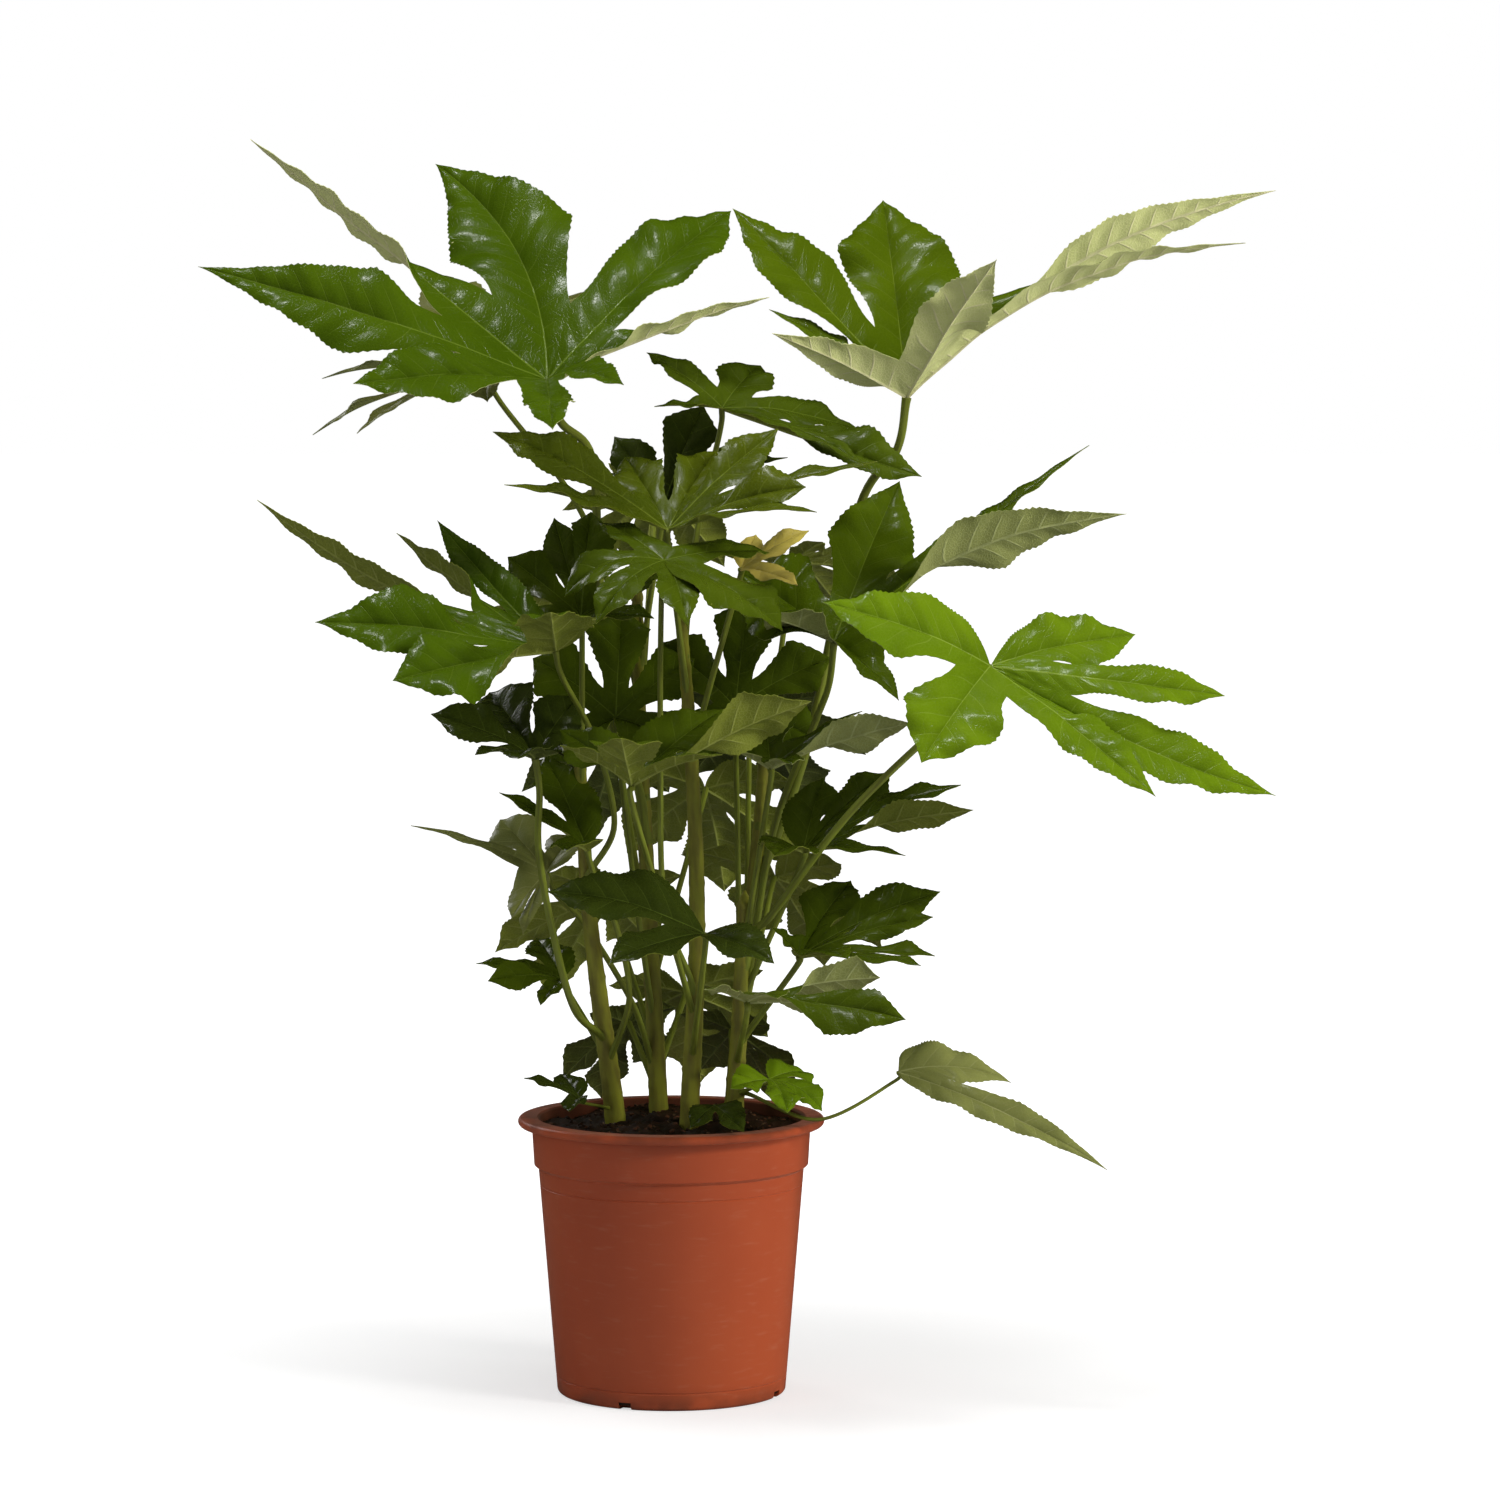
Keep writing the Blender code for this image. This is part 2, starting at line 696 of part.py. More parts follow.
            lobe(96, 26, 42, 0.20, 0.10, (0.1, -0.8, 0.8)),
            lobe(36, 62, 46, 0.26),
            lobe(-18, -4, 20, 0.36),
        ],
    },
    "leaf_right_pale": {
        "hub": (52, -132, 284),
        "facing": (-0.05, 0.2, 1.0),
        "stem": ("stem_right", 222),
        "tone": "leaf",
        "lobes": [
            lobe(-28, -30, 12, 0.30),
            lobe(20, -60, 10, 0.26),
            lobe(104, -28, -8, 0.20, 0.08, TO_FRONT),
            lobe(88, 4, 16, 0.34, 0.08, TO_BACK),
        ],
    },
    "leaf_far_right": {
        "hub": (154, -60, 228),
        "facing": (-0.35, -0.75, 0.8),
        "stem": ("stem_right", 200),
        "via": [(100, -62, 196)],
        "petiole": 0.0028,
        "tone": "leaf_young",
        "lobes": [
            lobe(138, -50, -59, 0.075, 0.15, None, 1.0),
            lobe(76, 5, -8, 0.25, 0.30, None, 0.5),
        ],
    },
    "leaf_low_left_high": {
        "hub": (-56, -42, 376),
        "facing": (-0.2, -0.2, 1.0),
        "stem": ("stem_left", 204),
        "via": [(-28, -24, 275), (-38, -42, 330)],
        "tone": "leaf",
        "lobes": [
            lobe(-30, 50, 62, 0.24, 0.08, TO_FRONT),
            lobe(-60, 14, 38, 0.15),
            lobe(-12, -62, 6, 0.26),
        ],
    },
    "leaf_low_left": {
        "hub": (-85, 0, 357),
        "facing": (-0.2, -0.2, 1.0),
        "stem": ("stem_back", 204),
        "via": [(-28, 34, 265), (-60, 22, 320)],
        "tone": "leaf",
        "lobes": [
            lobe(22, 70, 20, 0.26),
            lobe(-34, 50, 32, 0.34, 0.08, TO_FRONT),
            lobe(-94, 20, 30, 0.06),
            lobe(-22, -38, -28, 0.24),
            lobe(-14, -48, -38, 0.14),
        ],
    },
    "leaf_low_left_small": {
        "hub": (-75, 20, 282),
        "facing": (-0.1, -0.2, 1.0),
        "stem": ("stem_left", 225),
        "tone": "leaf",
        "lobes": [
            lobe(-20, 52, 22, 0.26),
            lobe(-60, 10, 10, 0.20),
            lobe(-50, -30, 2, 0.24, 0.10, TO_FRONT),
            lobe(-14, -36, -14, 0.20),
        ],
    },
    "leaf_front_dark": {
        "hub": (24, -112, 327),
        "facing": (-0.1, -0.45, 1.0),
        "stem": ("stem_centre", 222),
        "tone": "leaf",
        "lobes": [
            lobe(-104, -12, 30, 0.28, 0.12, (0.0, -0.8, 1.0)),
            lobe(-62, -55, -14, 0.24, 0.12),
            lobe(46, -48, -14, 0.28, 0.12),
        ],
    },
    "leaf_soil_left": {
        "hub": (-62, -30, 206),
        "facing": (-0.1, -0.1, 1.0),
        "stem": ("stem_left", 190),
        "petiole": 0.0024,
        "tone": "leaf",
        "lobes": [
            lobe(-14, 34, 12, 0.28),
            lobe(-38, 4, 14, 0.24),
            lobe(-6, -34, -4, 0.26),
        ],
    },
    "leaf_soil_right": {
        "hub": (67, -54, 222),
        "facing": (0.2, -0.5, 1.0),
        "stem": ("stem_right", 205),
        "petiole": 0.0026,
        "tone": "leaf_young",
        "lobes": [
            lobe(-26, -32, -2, 0.36, 0.1),
            lobe(12, -44, -16, 0.36, 0.2),
            lobe(36, -8, -20, 0.42, 0.3),
            lobe(26, 34, -2, 0.36, 0.2),
        ],
    },
    "leaf_soil_front": {
        "hub": (30, -66, 206),
        "facing": (0.0, -0.6, 1.0),
        "stem": ("stem_centre", 192),
        "petiole": 0.0024,
        "tone": "leaf",
        "lobes": [
            lobe(-16, -24, -12, 0.32, 0.1),
            lobe(20, -26, -14, 0.36, 0.1),
        ],
    },
}

# The leaves behind: the stem, where on it the petiole starts, the hub, and the reach of the
# longest lobe, all in millimetres, then the way the leaf points, in degrees from +X, how
# steeply it hangs down that way, and its number of lobes.
GROWN = {
    "leaf_back_left": ("stem_back", 400, (-84, 132, 524), 104, 120, 0.4, 7),
    "leaf_back_right": ("stem_back_right", 380, (84, 132, 564), 100, 70, 0.4, 7),
    "leaf_back_high": ("stem_back", 440, (-14, 150, 612), 88, 95, 0.8, 7),
    "leaf_back_right_middle": ("stem_back_right", 280, (56, 130, 460), 92, 70, 0.8, 5),
    "leaf_back_left_middle": ("stem_back", 280, (-40, 128, 432), 92, 110, 0.8, 7),
    "leaf_back_middle": ("stem_back", 262, (22, 140, 404), 94, 85, 1.0, 5),
    "leaf_back_right_low": ("stem_back_right", 225, (72, 104, 344), 88, 60, 1.0, 5),
    "leaf_back_left_low": ("stem_back", 220, (-48, 110, 330), 84, 118, 1.0, 5),
    "leaf_back_low": ("stem_back", 206, (8, 112, 262), 82, 88, 1.0, 5),
    "leaf_back_low_left": ("stem_back", 194, (-31, 88, 243), 54, 118, 1.2, 5),
    "leaf_back_low_right": ("stem_back_right", 194, (42, 84, 238), 54, 64, 1.2, 5),
}
# The turns between a leaf's lobes and the longest one, and how long each is beside it.
GROWN_TURNS = {
    5: (-104, -52, 0, 50, 102),
    7: (-128, -88, -44, 0, 42, 86, 126),
}
GROWN_LENGTHS = {
    5: (0.66, 0.90, 1.0, 0.92, 0.68),
    7: (0.45, 0.74, 0.93, 1.0, 0.94, 0.78, 0.45),
}
# The ranges that each lobe's turn, length, rise, width and arch are drawn from.
GROWN_SWING = (-6, 6)
GROWN_STRETCH = (0.92, 1.05)
GROWN_RISE = (-0.15, 0.20)
GROWN_WIDTH = (1.35, 1.6)
GROWN_ARCH = (0.06, 0.16)
GROWN_SEED = 11


def grown_leaf(name):
    """A leaf by the common rule, a little different each time."""
    stem, height, hub, size, points_at, hang, count = GROWN[name]
    draw = random.Random(GROWN_SEED + len(name) * hub[2])
    lobes = []
    for turn, length in zip(GROWN_TURNS[count], GROWN_LENGTHS[count]):
        angle = math.radians(points_at + turn + draw.uniform(*GROWN_SWING))
        reach = size * length * draw.uniform(*GROWN_STRETCH)
        rise = reach * (draw.uniform(*GROWN_RISE) - hang * math.cos(math.radians(turn)))
        across = (reach * math.cos(angle), reach * math.sin(angle))
        width = draw.uniform(*GROWN_WIDTH) / count
        lobes.append(lobe(*across, rise, width, draw.uniform(*GROWN_ARCH)))
    lean = math.radians(points_at)
    return {
        "hub": hub,
        "facing": (hang * math.cos(lean), hang * math.sin(lean), 1.0),
        "stem": (stem, height),
        "tone": "leaf",
        "lobes": lobes,
    }


def outward(direction, tangent):
    """The part of a direction that is square to the tangent."""
    across = direction - direction.dot(tangent) * tangent
    return across.normalized()


def smoothstep(value):
    value = max(0.0, min(1.0, value))
    return value * value * (3 - 2 * value)


def midrib(spec, facing, u):
    """The place on a lobe's midrib at part u of its length, and its tangent there."""
    tip = spec["tip"]
    normal = outward(facing, tip.normalized())
    left = normal.cross(tip.normalized())
    control = tip * 0.5 + (normal * spec["arch"] + left * spec["sweep"]) * tip.length
    place = 2 * u * (1 - u) * control + u * u * tip
    tangent = (2 * (1 - u) * control + 2 * u * (tip - control)).normalized()
    return place, tangent


def half_width(spec, u, beside_gap):
    """Half the blade's width at part u: widest past the middle, drawn out to the tip."""
    swell = spec["swell"] * (BESIDE_GAP_SWELL if beside_gap else 1.0)
    widest = swell / (swell + TAPER)
    peak = widest**swell * (1 - widest) ** TAPER
    shape = u**swell * (1 - u) ** TAPER / peak
    return spec["width"] * spec["tip"].length * shape


def margin_offset(spec, facing, u, side, place):
    """From the midrib out to the free edge, on the left (side 1) or right (side -1). The
    place says if the petiole's gap is beside it, the room there is and its turn in the wave."""
    _, tangent = midrib(spec, facing, u)
    looks = facing.lerp(spec["face"] or facing, smoothstep(u / FACED))
    normal = outward(looks, tangent)
    left = normal.cross(tangent)
    wide = half_width(spec, u, place["beside_gap"])
    if place["room"] is not None:
        wide = min(wide, ROOM_USED * place["room"])
    wave = WAVE * (1 if place["number"] % 2 else -1)
    return left * side * wide + normal * wide * (FOLD + wave)


def blade_mesh(name, leaf):
    """The leaf's blade as an open surface of triangles, with its hub at the origin."""
    lobes = leaf["lobes"]
    facing = Vector(leaf["facing"]).normalized()
    reach = max(spec["tip"].length for spec in lobes)
    stations = STATIONS_SMALL
    if reach > MIDDLE_LEAF_REACH:
        stations = STATIONS_MIDDLE
    if reach > LARGE_LEAF_REACH:
        stations = STATIONS_LARGE
    last = len(stations) - 1
    joined = stations.index(JOINED)
    points = [Vector((0, 0, 0))]

    def add(point):
        points.append(point)
        return len(points) - 1

    ribs = []
    for spec in lobes:
        ribs.append([0] + [add(midrib(spec, facing, u)[0]) for u in stations[1:]])

    def margin(number, side):
        """The edge of one half lobe, from the hub to the tip, as point numbers."""
        spec = lobes[number]
        other = number + side
        neighbour = lobes[other] if 0 <= other < len(lobes) else None
        edge = [0]
        for k, u in enumerate(stations[1:last], start=1):
            here = midrib(spec, facing, u)[0]
            room = None
            if neighbour:
                there = midrib(neighbour, facing, u)[0]
                room = (there - here).length / 2
                if k <= joined:
                    key = (min(number, other), k)
                    if key not in shared:
                        shared[key] = add((here + there) / 2)
                    edge.append(shared[key])
                    continue
            place = {"beside_gap": neighbour is None, "room": room, "number": k}
            offset = margin_offset(spec, facing, u, side, place)
            if neighbour:
                start = points[edge[joined]] - midrib(spec, facing, JOINED)[0]
                blend = smoothstep((u - JOINED) / NOTCH)
                offset = start.lerp(offset, blend)
            edge.append(add(here + offset))
        edge.append(ribs[number][last])
        return edge

    shared = {}
    faces = []
    for number in range(len(lobes)):
        rib = ribs[number]
        for side in (-1, 1):
            edge = margin(number, side)
            for k in range(last):
                corners = [rib[k], edge[k], edge[k + 1], rib[k + 1]]
                if side == 1:
                    corners.reverse()
                corners = list(dict.fromkeys(corners))
                if len(corners) == 3:
                    faces.append(corners)
                else:
                    a, b, c, d = corners
                    faces += [(a, b, c), (a, c, d)]
    mesh = bpy.data.meshes.new(name)
    mesh.from_pydata([tuple(point) for point in points], [], faces)
    return mesh


def petiole_line(leaf):
    """The petiole's middle line, from inside its stem to just through the hub."""
    stem, height = leaf["stem"]
    start, along = point_on_stem(stem, height)
    hub = Vector(leaf["hub"]) * MM
    facing = Vector(leaf["facing"]).normalized()
    via = [Vector(point) * MM for point in leaf.get("via", [])]
    span = (hub - start).length
    leave = start + (along + (hub - start).normalized()) / 2 * span * PETIOLE_LEAVES
    before = via[-1] if via else leave
    arrive = hub - (facing + (hub - before).normalized()) / 2 * span * PETIOLE_ARRIVES
    line = smooth_points([start, leave, *via, arrive, hub], PETIOLE_SEGMENTS)
    line[-1] = hub + facing * BLADE_THICKNESS
    return line


def build_leaf(name, leaf, collection, helpers, stems, clearances, materials):
    hub = Vector(leaf["hub"]) * MM
    thing = new_object(name, blade_mesh(name, leaf), collection)
    thing.location = hub
    solidify = thing.modifiers.new("Thickness", "SOLIDIFY")
    solidify.thickness = BLADE_THICKNESS
    solidify.offset = 0.0
    line = petiole_line(leaf)
    thick = leaf.get("petiole", PETIOLE_THICKNESS) / 2
    radii = [thick * (1 - (1 - PETIOLE_NECK) * k / (len(line) - 1)) for k in range(len(line))]
    stalk = tube(name + "_petiole", line, radii, helpers, 1)
    apply_boolean(thing, stalk, "UNION", "MANIFOLD")
    remove_object(stalk)
    apply_boolean(thing, clearances[leaf["stem"][0]], "DIFFERENCE", "MANIFOLD")
    triangulate(thing)
    thing.data.materials.clear()
    thing.data.materials.append(materials[leaf["tone"]])
    bpy.context.view_layer.update()
    thing.parent = stems[leaf["stem"][0]]
    return thing


def main():
    clear_scene()
    parts = new_collection("fatsia_in_pot")
    helpers = new_collection("cutters")
    materials = {
        "pot": new_material("terracotta_plastic", (0.36, 0.095, 0.040), 0.55),
        "soil": new_material("potting_soil", (0.035, 0.016, 0.009), 0.95),
        "stem": new_material("green_bark", (0.14, 0.13, 0.045), 0.6),
        "leaf": new_material("leaf_green", (0.050, 0.130, 0.010), 0.35),
        "leaf_young": new_material("leaf_young_green", (0.085, 0.190, 0.020), 0.35),
        "leaf_yellow": new_material("leaf_yellow_green", (0.42, 0.34, 0.05), 0.5),
    }
    plant = bpy.data.objects.new("fatsia_plant", None)
    parts.objects.link(plant)
    build_pot(parts, helpers, plant, materials["pot"])
    stems, clearances = build_stems(parts, helpers, plant, materials["stem"])
    build_soil(parts, clearances, plant, materials["soil"])
    leaves = {**LEAVES, **{name: grown_leaf(name) for name in GROWN}}
    for name, leaf in leaves.items():
        build_leaf(name, leaf, parts, helpers, stems, clearances, materials)
    for clearance in list(clearances.values()):
        remove_object(clearance)


main()
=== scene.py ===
# %% [markdown]
# # A fatsia japonica in its nursery pot
#
# A young fatsia is a bush of woody stems. Each leaf is one hand of pointed lobes, thick and
# glossy above, pale and matt below, on a long petiole. This lesson dresses a model whose plain
# solids are already made. The solids fix where every stem, petiole and lobe is, so
# each piece here is grown again along the same lines, with far more points.

# %% Load the imported frame
import math
import random

import bmesh
import bpy
import numpy as np
from mathutils import Matrix, Vector, noise


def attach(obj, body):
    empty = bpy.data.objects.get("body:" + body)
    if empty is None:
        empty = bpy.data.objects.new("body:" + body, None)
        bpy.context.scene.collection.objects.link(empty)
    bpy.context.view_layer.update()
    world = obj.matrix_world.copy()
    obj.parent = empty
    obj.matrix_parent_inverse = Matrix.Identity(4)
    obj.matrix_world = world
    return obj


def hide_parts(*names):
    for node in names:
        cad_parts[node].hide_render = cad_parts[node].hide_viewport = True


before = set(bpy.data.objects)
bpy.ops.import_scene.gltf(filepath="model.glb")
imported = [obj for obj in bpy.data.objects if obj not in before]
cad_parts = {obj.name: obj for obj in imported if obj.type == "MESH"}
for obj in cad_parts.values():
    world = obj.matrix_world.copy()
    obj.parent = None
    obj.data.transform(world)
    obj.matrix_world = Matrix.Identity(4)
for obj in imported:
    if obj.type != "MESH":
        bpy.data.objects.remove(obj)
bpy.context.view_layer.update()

print("nodes in the frame:", len(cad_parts))

# %% [markdown]
# ## Camera and light
#
# The plant stands in a plain studio. A long lens from 3.6 metres keeps the pot's sides nearly
# straight, and it looks down by about four degrees. Four soft panels light it: the key at the
# front right, one lower beside it, one overhead and a weak one at the left. One huge lamp
# would be simpler, but its mirror image would wash the glossy leaves white. So no surface
# mirrors these four. The gloss has two panels of its own, a small one overhead and one behind.

# %% Camera
CAMERA_PLACE = (0.054, -3.6, 0.70)
CAMERA_TILT = math.radians(85.89)
CAMERA_LENS = 126.96

camera_data = bpy.data.cameras.new("camera")
camera_data.lens = CAMERA_LENS
camera_data.sensor_width = 36.0
camera_data.clip_end = 100.0
camera = bpy.data.objects.new("camera", camera_data)
camera.location = CAMERA_PLACE
camera.rotation_euler = (CAMERA_TILT, 0.0, 0.0)
bpy.context.scene.collection.objects.link(camera)
bpy.context.scene.camera = camera
bpy.context.scene.view_settings.view_transform = "Standard"
print("camera at", CAMERA_PLACE)

# %% Soft panels
PLANT_MIDDLE = Vector((0.03, 0.0, 0.45))


def add_panel(name, place, size, power, mirrored, tint=(1.0, 1.0, 1.0)):
    """A square area light that looks at the middle of the plant. Gloss shows it if mirrored."""
    data = bpy.data.lights.new(name, "AREA")
    data.shape = "SQUARE"
    data.size = size
    data.energy = power
    data.color = tint
    panel = bpy.data.objects.new(name, data)
    panel.location = place
    gaze = PLANT_MIDDLE - Vector(place)
    panel.rotation_euler = gaze.to_track_quat("-Z", "Y").to_euler()
    panel.visible_glossy = mirrored
    bpy.context.scene.collection.objects.link(panel)


add_panel("key_panel", (2.6, -1.7, 1.9), 0.8, 60.0, False, (1.0, 0.985, 0.95))
add_panel("side_panel", (2.6, -0.3, 0.3), 0.6, 26.0, False)
add_panel("top_panel", (-0.25, -0.3, 2.6), 0.9, 24.0, False)
add_panel("gloss_panel", (-0.3, -0.5, 2.4), 0.30, 6.0, True)
add_panel("back_panel", (-1.6, 2.0, 1.7), 1.0, 10.0, True)
add_panel("fill_panel", (-2.6, -1.7, 1.0), 1.4, 11.0, False, (0.95, 0.98, 1.0))

# %% [markdown]
# ## Small tools for shader nodes
#
# A material is a tree of nodes. Making each node, setting it and joining it takes many lines,
# so a few short helpers do it. They only shorten the writing: the trees they make are the
# same as those drawn by hand in the shader editor.

# %% Node helpers


def make(tree, kind, inputs=None, **settings):
    """Adds a node. An input is a value, or another node's output that is then joined to it."""
    node = tree.nodes.new(kind)
    for name, value in settings.items():
        setattr(node, name, value)
    for name, value in (inputs or {}).items():
        if isinstance(value, bpy.types.NodeSocket):
            tree.links.new(value, node.inputs[name])
        else:
            node.inputs[name].default_value = value
    return node


def calculate(tree, operation, first, second=0.0):
    node = make(tree, "ShaderNodeMath", {0: first, 1: second}, operation=operation)
    return node.outputs[0]


def mix_colours(tree, factor, first, second):
    """The first colour where the factor is 0, the second where it is 1. Each is an output or
    three numbers. They go into the colour sockets of a Mix node, which are numbers 6 and 7."""
    inputs = {0: factor}
    for number, colour in ((6, first), (7, second)):
        inputs[number] = colour if isinstance(colour, bpy.types.NodeSocket) else (*colour, 1.0)
    return make(tree, "ShaderNodeMix", inputs, data_type="RGBA").outputs[2]


def ramp(tree, value, low, high, to_low=0.0, to_high=1.0):
    """The value, eased from one range into another and held inside it."""
    inputs = {"Value": value, "From Min": low, "From Max": high}
    inputs.update({"To Min": to_low, "To Max": to_high})
    node = make(tree, "ShaderNodeMapRange", inputs, interpolation_type="SMOOTHSTEP")
    return node.outputs["Result"]


def new_group(name, inputs, outputs):
    """A shader node group with named sockets, and its two inner end nodes."""
    group = bpy.data.node_groups.new(name, "ShaderNodeTree")
    for label, kind, value in inputs:
        socket = group.interface.new_socket(name=label, in_out="INPUT", socket_type=kind)
        socket.default_value = value
    for label, kind in outputs:
        group.interface.new_socket(name=label, in_out="OUTPUT", socket_type=kind)
    return group, group.nodes.new("NodeGroupInput"), group.nodes.new("NodeGroupOutput")


def use_group(tree, group, inputs=None):
    return make(tree, "ShaderNodeGroup", inputs, node_tree=group)


def new_material(name):
    material = bpy.data.materials.new(name)
    material.use_nodes = True
    tree = material.node_tree
    return material, tree, tree.nodes["Principled BSDF"]


def join_finish(tree, shader, colour, roughness, relief, strength, depth):
    """Joins a finish's colour, roughness and relief to its shader. The depth is in metres."""
    bump = make(tree, "ShaderNodeBump", {"Height": relief, "Strength": strength, "Distance": depth})
    tree.links.new(colour, shader.inputs["Base Color"])
    tree.links.new(roughness, shader.inputs["Roughness"])
    tree.links.new(bump.outputs[0], shader.inputs["Normal"])


FLOAT = "NodeSocketFloat"
VECTOR = "NodeSocketVector"
print("node helpers ready")

# %% [markdown]
# ## White all round
#
# The plant is shown on white, yet its own shadows are deep. So the studio's walls look white
# to the camera and give the plant much less light than that. The floor is a pale sheet. Far
# from the plant the panels no longer reach it, and a glow that only the camera sees keeps it
# as pale there.

# %% Sky and floor
SKY_COLOUR = (1.0, 1.0, 1.0, 1.0)
SKY_STRENGTH = 0.26
FLOOR_HALF = 40.0
FLOOR_GLOW_NEAR = 0.6
FLOOR_GLOW_STARTS = 0.1
FLOOR_GLOW_FULL = 1.2

world = bpy.data.worlds.new("studio")
world.use_nodes = True
tree = world.node_tree
seen = make(tree, "ShaderNodeLightPath").outputs["Is Camera Ray"]
strength = ramp(tree, seen, 0.0, 1.0, SKY_STRENGTH, 1.0)
tree.nodes["Background"].inputs["Color"].default_value = SKY_COLOUR
tree.links.new(strength, tree.nodes["Background"].inputs["Strength"])
bpy.context.scene.world = world
world.cycles_visibility.glossy = False

floor_corners = [(-1, -1), (1, -1), (1, 1), (-1, 1)]
floor_mesh = bpy.data.meshes.new("floor")
floor_points = [(x * FLOOR_HALF, y * FLOOR_HALF, 0.0) for x, y in floor_corners]
floor_mesh.from_pydata(floor_points, [], [(0, 1, 2, 3)])
floor = bpy.data.objects.new("floor", floor_mesh)
bpy.context.scene.collection.objects.link(floor)
floor_material, tree, shader = new_material("pale_floor")
shader.inputs["Base Color"].default_value = (0.5, 0.5, 0.5, 1.0)
shader.inputs["Roughness"].default_value = 0.8
shader.inputs["Emission Color"].default_value = (1.0, 1.0, 1.0, 1.0)
place = make(tree, "ShaderNodeTexCoord").outputs["Object"]
away = make(tree, "ShaderNodeVectorMath", {0: place}, operation="LENGTH").outputs["Value"]
glow = ramp(tree, away, FLOOR_GLOW_STARTS, FLOOR_GLOW_FULL, FLOOR_GLOW_NEAR, 1.0)
seen = make(tree, "ShaderNodeLightPath").outputs["Is Camera Ray"]
tree.links.new(calculate(tree, "MULTIPLY", glow, seen), shader.inputs["Emission Strength"])
floor_mesh.materials.append(floor_material)
floor.visible_glossy = False
print("floor:", 2 * FLOOR_HALF, "m wide")

# %% [markdown]
# ## Three effects that several materials share
#
# *Mottle* is the slow drift of colour over anything that has grown or been handled. *Grain* is
# a fine roughness that only catches the light. *Vein lines* draws the ribs of a leaf. The last
# one could be painted, but two numbers that each leaf's mesh carries are enough to draw it:
# how far along its lobe a point is, counted in side veins, and how far out from the midrib.

# %% Mottle and grain
MOTTLE_FROM = 0.1
MOTTLE_TO = 0.9
MOTTLE_NARROWS = 0.35

mottle, given, result = new_group(
    "mottle",
    [("Scale", FLOAT, 8.0), ("Detail", FLOAT, 4.0), ("Contrast", FLOAT, 0.5)],
    [("Mask", FLOAT)],
)
place = make(mottle, "ShaderNodeTexCoord").outputs["Object"]
drift = make(
    mottle,
    "ShaderNodeTexNoise",
    {"Vector": place, "Scale": given.outputs["Scale"], "Detail": given.outputs["Detail"]},
)
narrows = calculate(mottle, "MULTIPLY", given.outputs["Contrast"], MOTTLE_NARROWS)
low = calculate(mottle, "ADD", MOTTLE_FROM, narrows)
high = calculate(mottle, "SUBTRACT", MOTTLE_TO, narrows)
mask = ramp(mottle, drift.outputs["Fac"], low, high)
mottle.links.new(mask, result.inputs["Mask"])

grain, given, result = new_group(
    "grain", [("Scale", FLOAT, 900.0), ("Strength", FLOAT, 1.0)], [("Height", FLOAT)]
)
place = make(grain, "ShaderNodeTexCoord").outputs["Object"]
specks = make(
    grain, "ShaderNodeTexNoise", {"Vector": place, "Scale": given.outputs["Scale"], "Detail": 2.0}
)
height = calculate(grain, "MULTIPLY", specks.outputs["Fac"], given.outputs["Strength"])
grain.links.new(height, result.inputs["Height"])
print("shared effects:", mottle.name, grain.name)

# %% Vein lines
VEIN_HALF_WIDTH = 0.045
NET_CELLS = 420.0

vein_lines, given, result = new_group(
    "vein_lines",
    [("Veins", VECTOR, (0, 0, 0)), ("Blade", VECTOR, (0, 0, 0)), ("Width", FLOAT, 1.0)],
    [("Midrib", FLOAT), ("Lateral", FLOAT), ("Net", FLOAT), ("Quilt", FLOAT)],
)
veins = make(vein_lines, "ShaderNodeSeparateXYZ", {0: given.outputs["Veins"]})
blade = make(vein_lines, "ShaderNodeSeparateXYZ", {0: given.outputs["Blade"]})
width = given.outputs["Width"]
from_rib = calculate(vein_lines, "DIVIDE", veins.outputs["Y"], width)
midrib_mask = ramp(vein_lines, from_rib, 0.25, 1.0, 1.0, 0.0)
turned_phase = calculate(vein_lines, "FRACT", calculate(vein_lines, "ADD", veins.outputs["X"], 0.5))
from_vein = calculate(vein_lines, "ABSOLUTE", calculate(vein_lines, "SUBTRACT", turned_phase, 0.5))
reach = calculate(vein_lines, "MULTIPLY", width, VEIN_HALF_WIDTH)
line = ramp(vein_lines, calculate(vein_lines, "DIVIDE", from_vein, reach), 0.2, 1.0, 1.0, 0.0)
fade = ramp(vein_lines, blade.outputs["Y"], 0.45, 0.98, 1.0, 0.0)
lateral_mask = calculate(vein_lines, "MULTIPLY", line, fade)
cells = make(
    vein_lines,
    "ShaderNodeTexVoronoi",
    {"Vector": make(vein_lines, "ShaderNodeTexCoord").outputs["Object"], "Scale": NET_CELLS},
    feature="DISTANCE_TO_EDGE",
)
net_mask = ramp(vein_lines, cells.outputs["Distance"], 0.0, 0.12, 1.0, 0.0)
swelling = calculate(vein_lines, "MULTIPLY", ramp(vein_lines, from_vein, 0.0, 0.5), fade)
masks = {"Midrib": midrib_mask, "Lateral": lateral_mask, "Net": net_mask, "Quilt": swelling}
for label, value in masks.items():
    vein_lines.links.new(value, result.inputs[label])


def vein_masks(tree, width=1.0):
    """The masks of a leaf's lines, drawn from the two maps that its mesh carries."""
    inputs = {"Width": width}
    for label in ("Veins", "Blade"):
        inputs[label] = make(tree, "ShaderNodeUVMap", uv_map=label.lower()).outputs[0]
    return use_group(tree, vein_lines, inputs).outputs


print("vein lines:", len(vein_lines.nodes), "nodes")
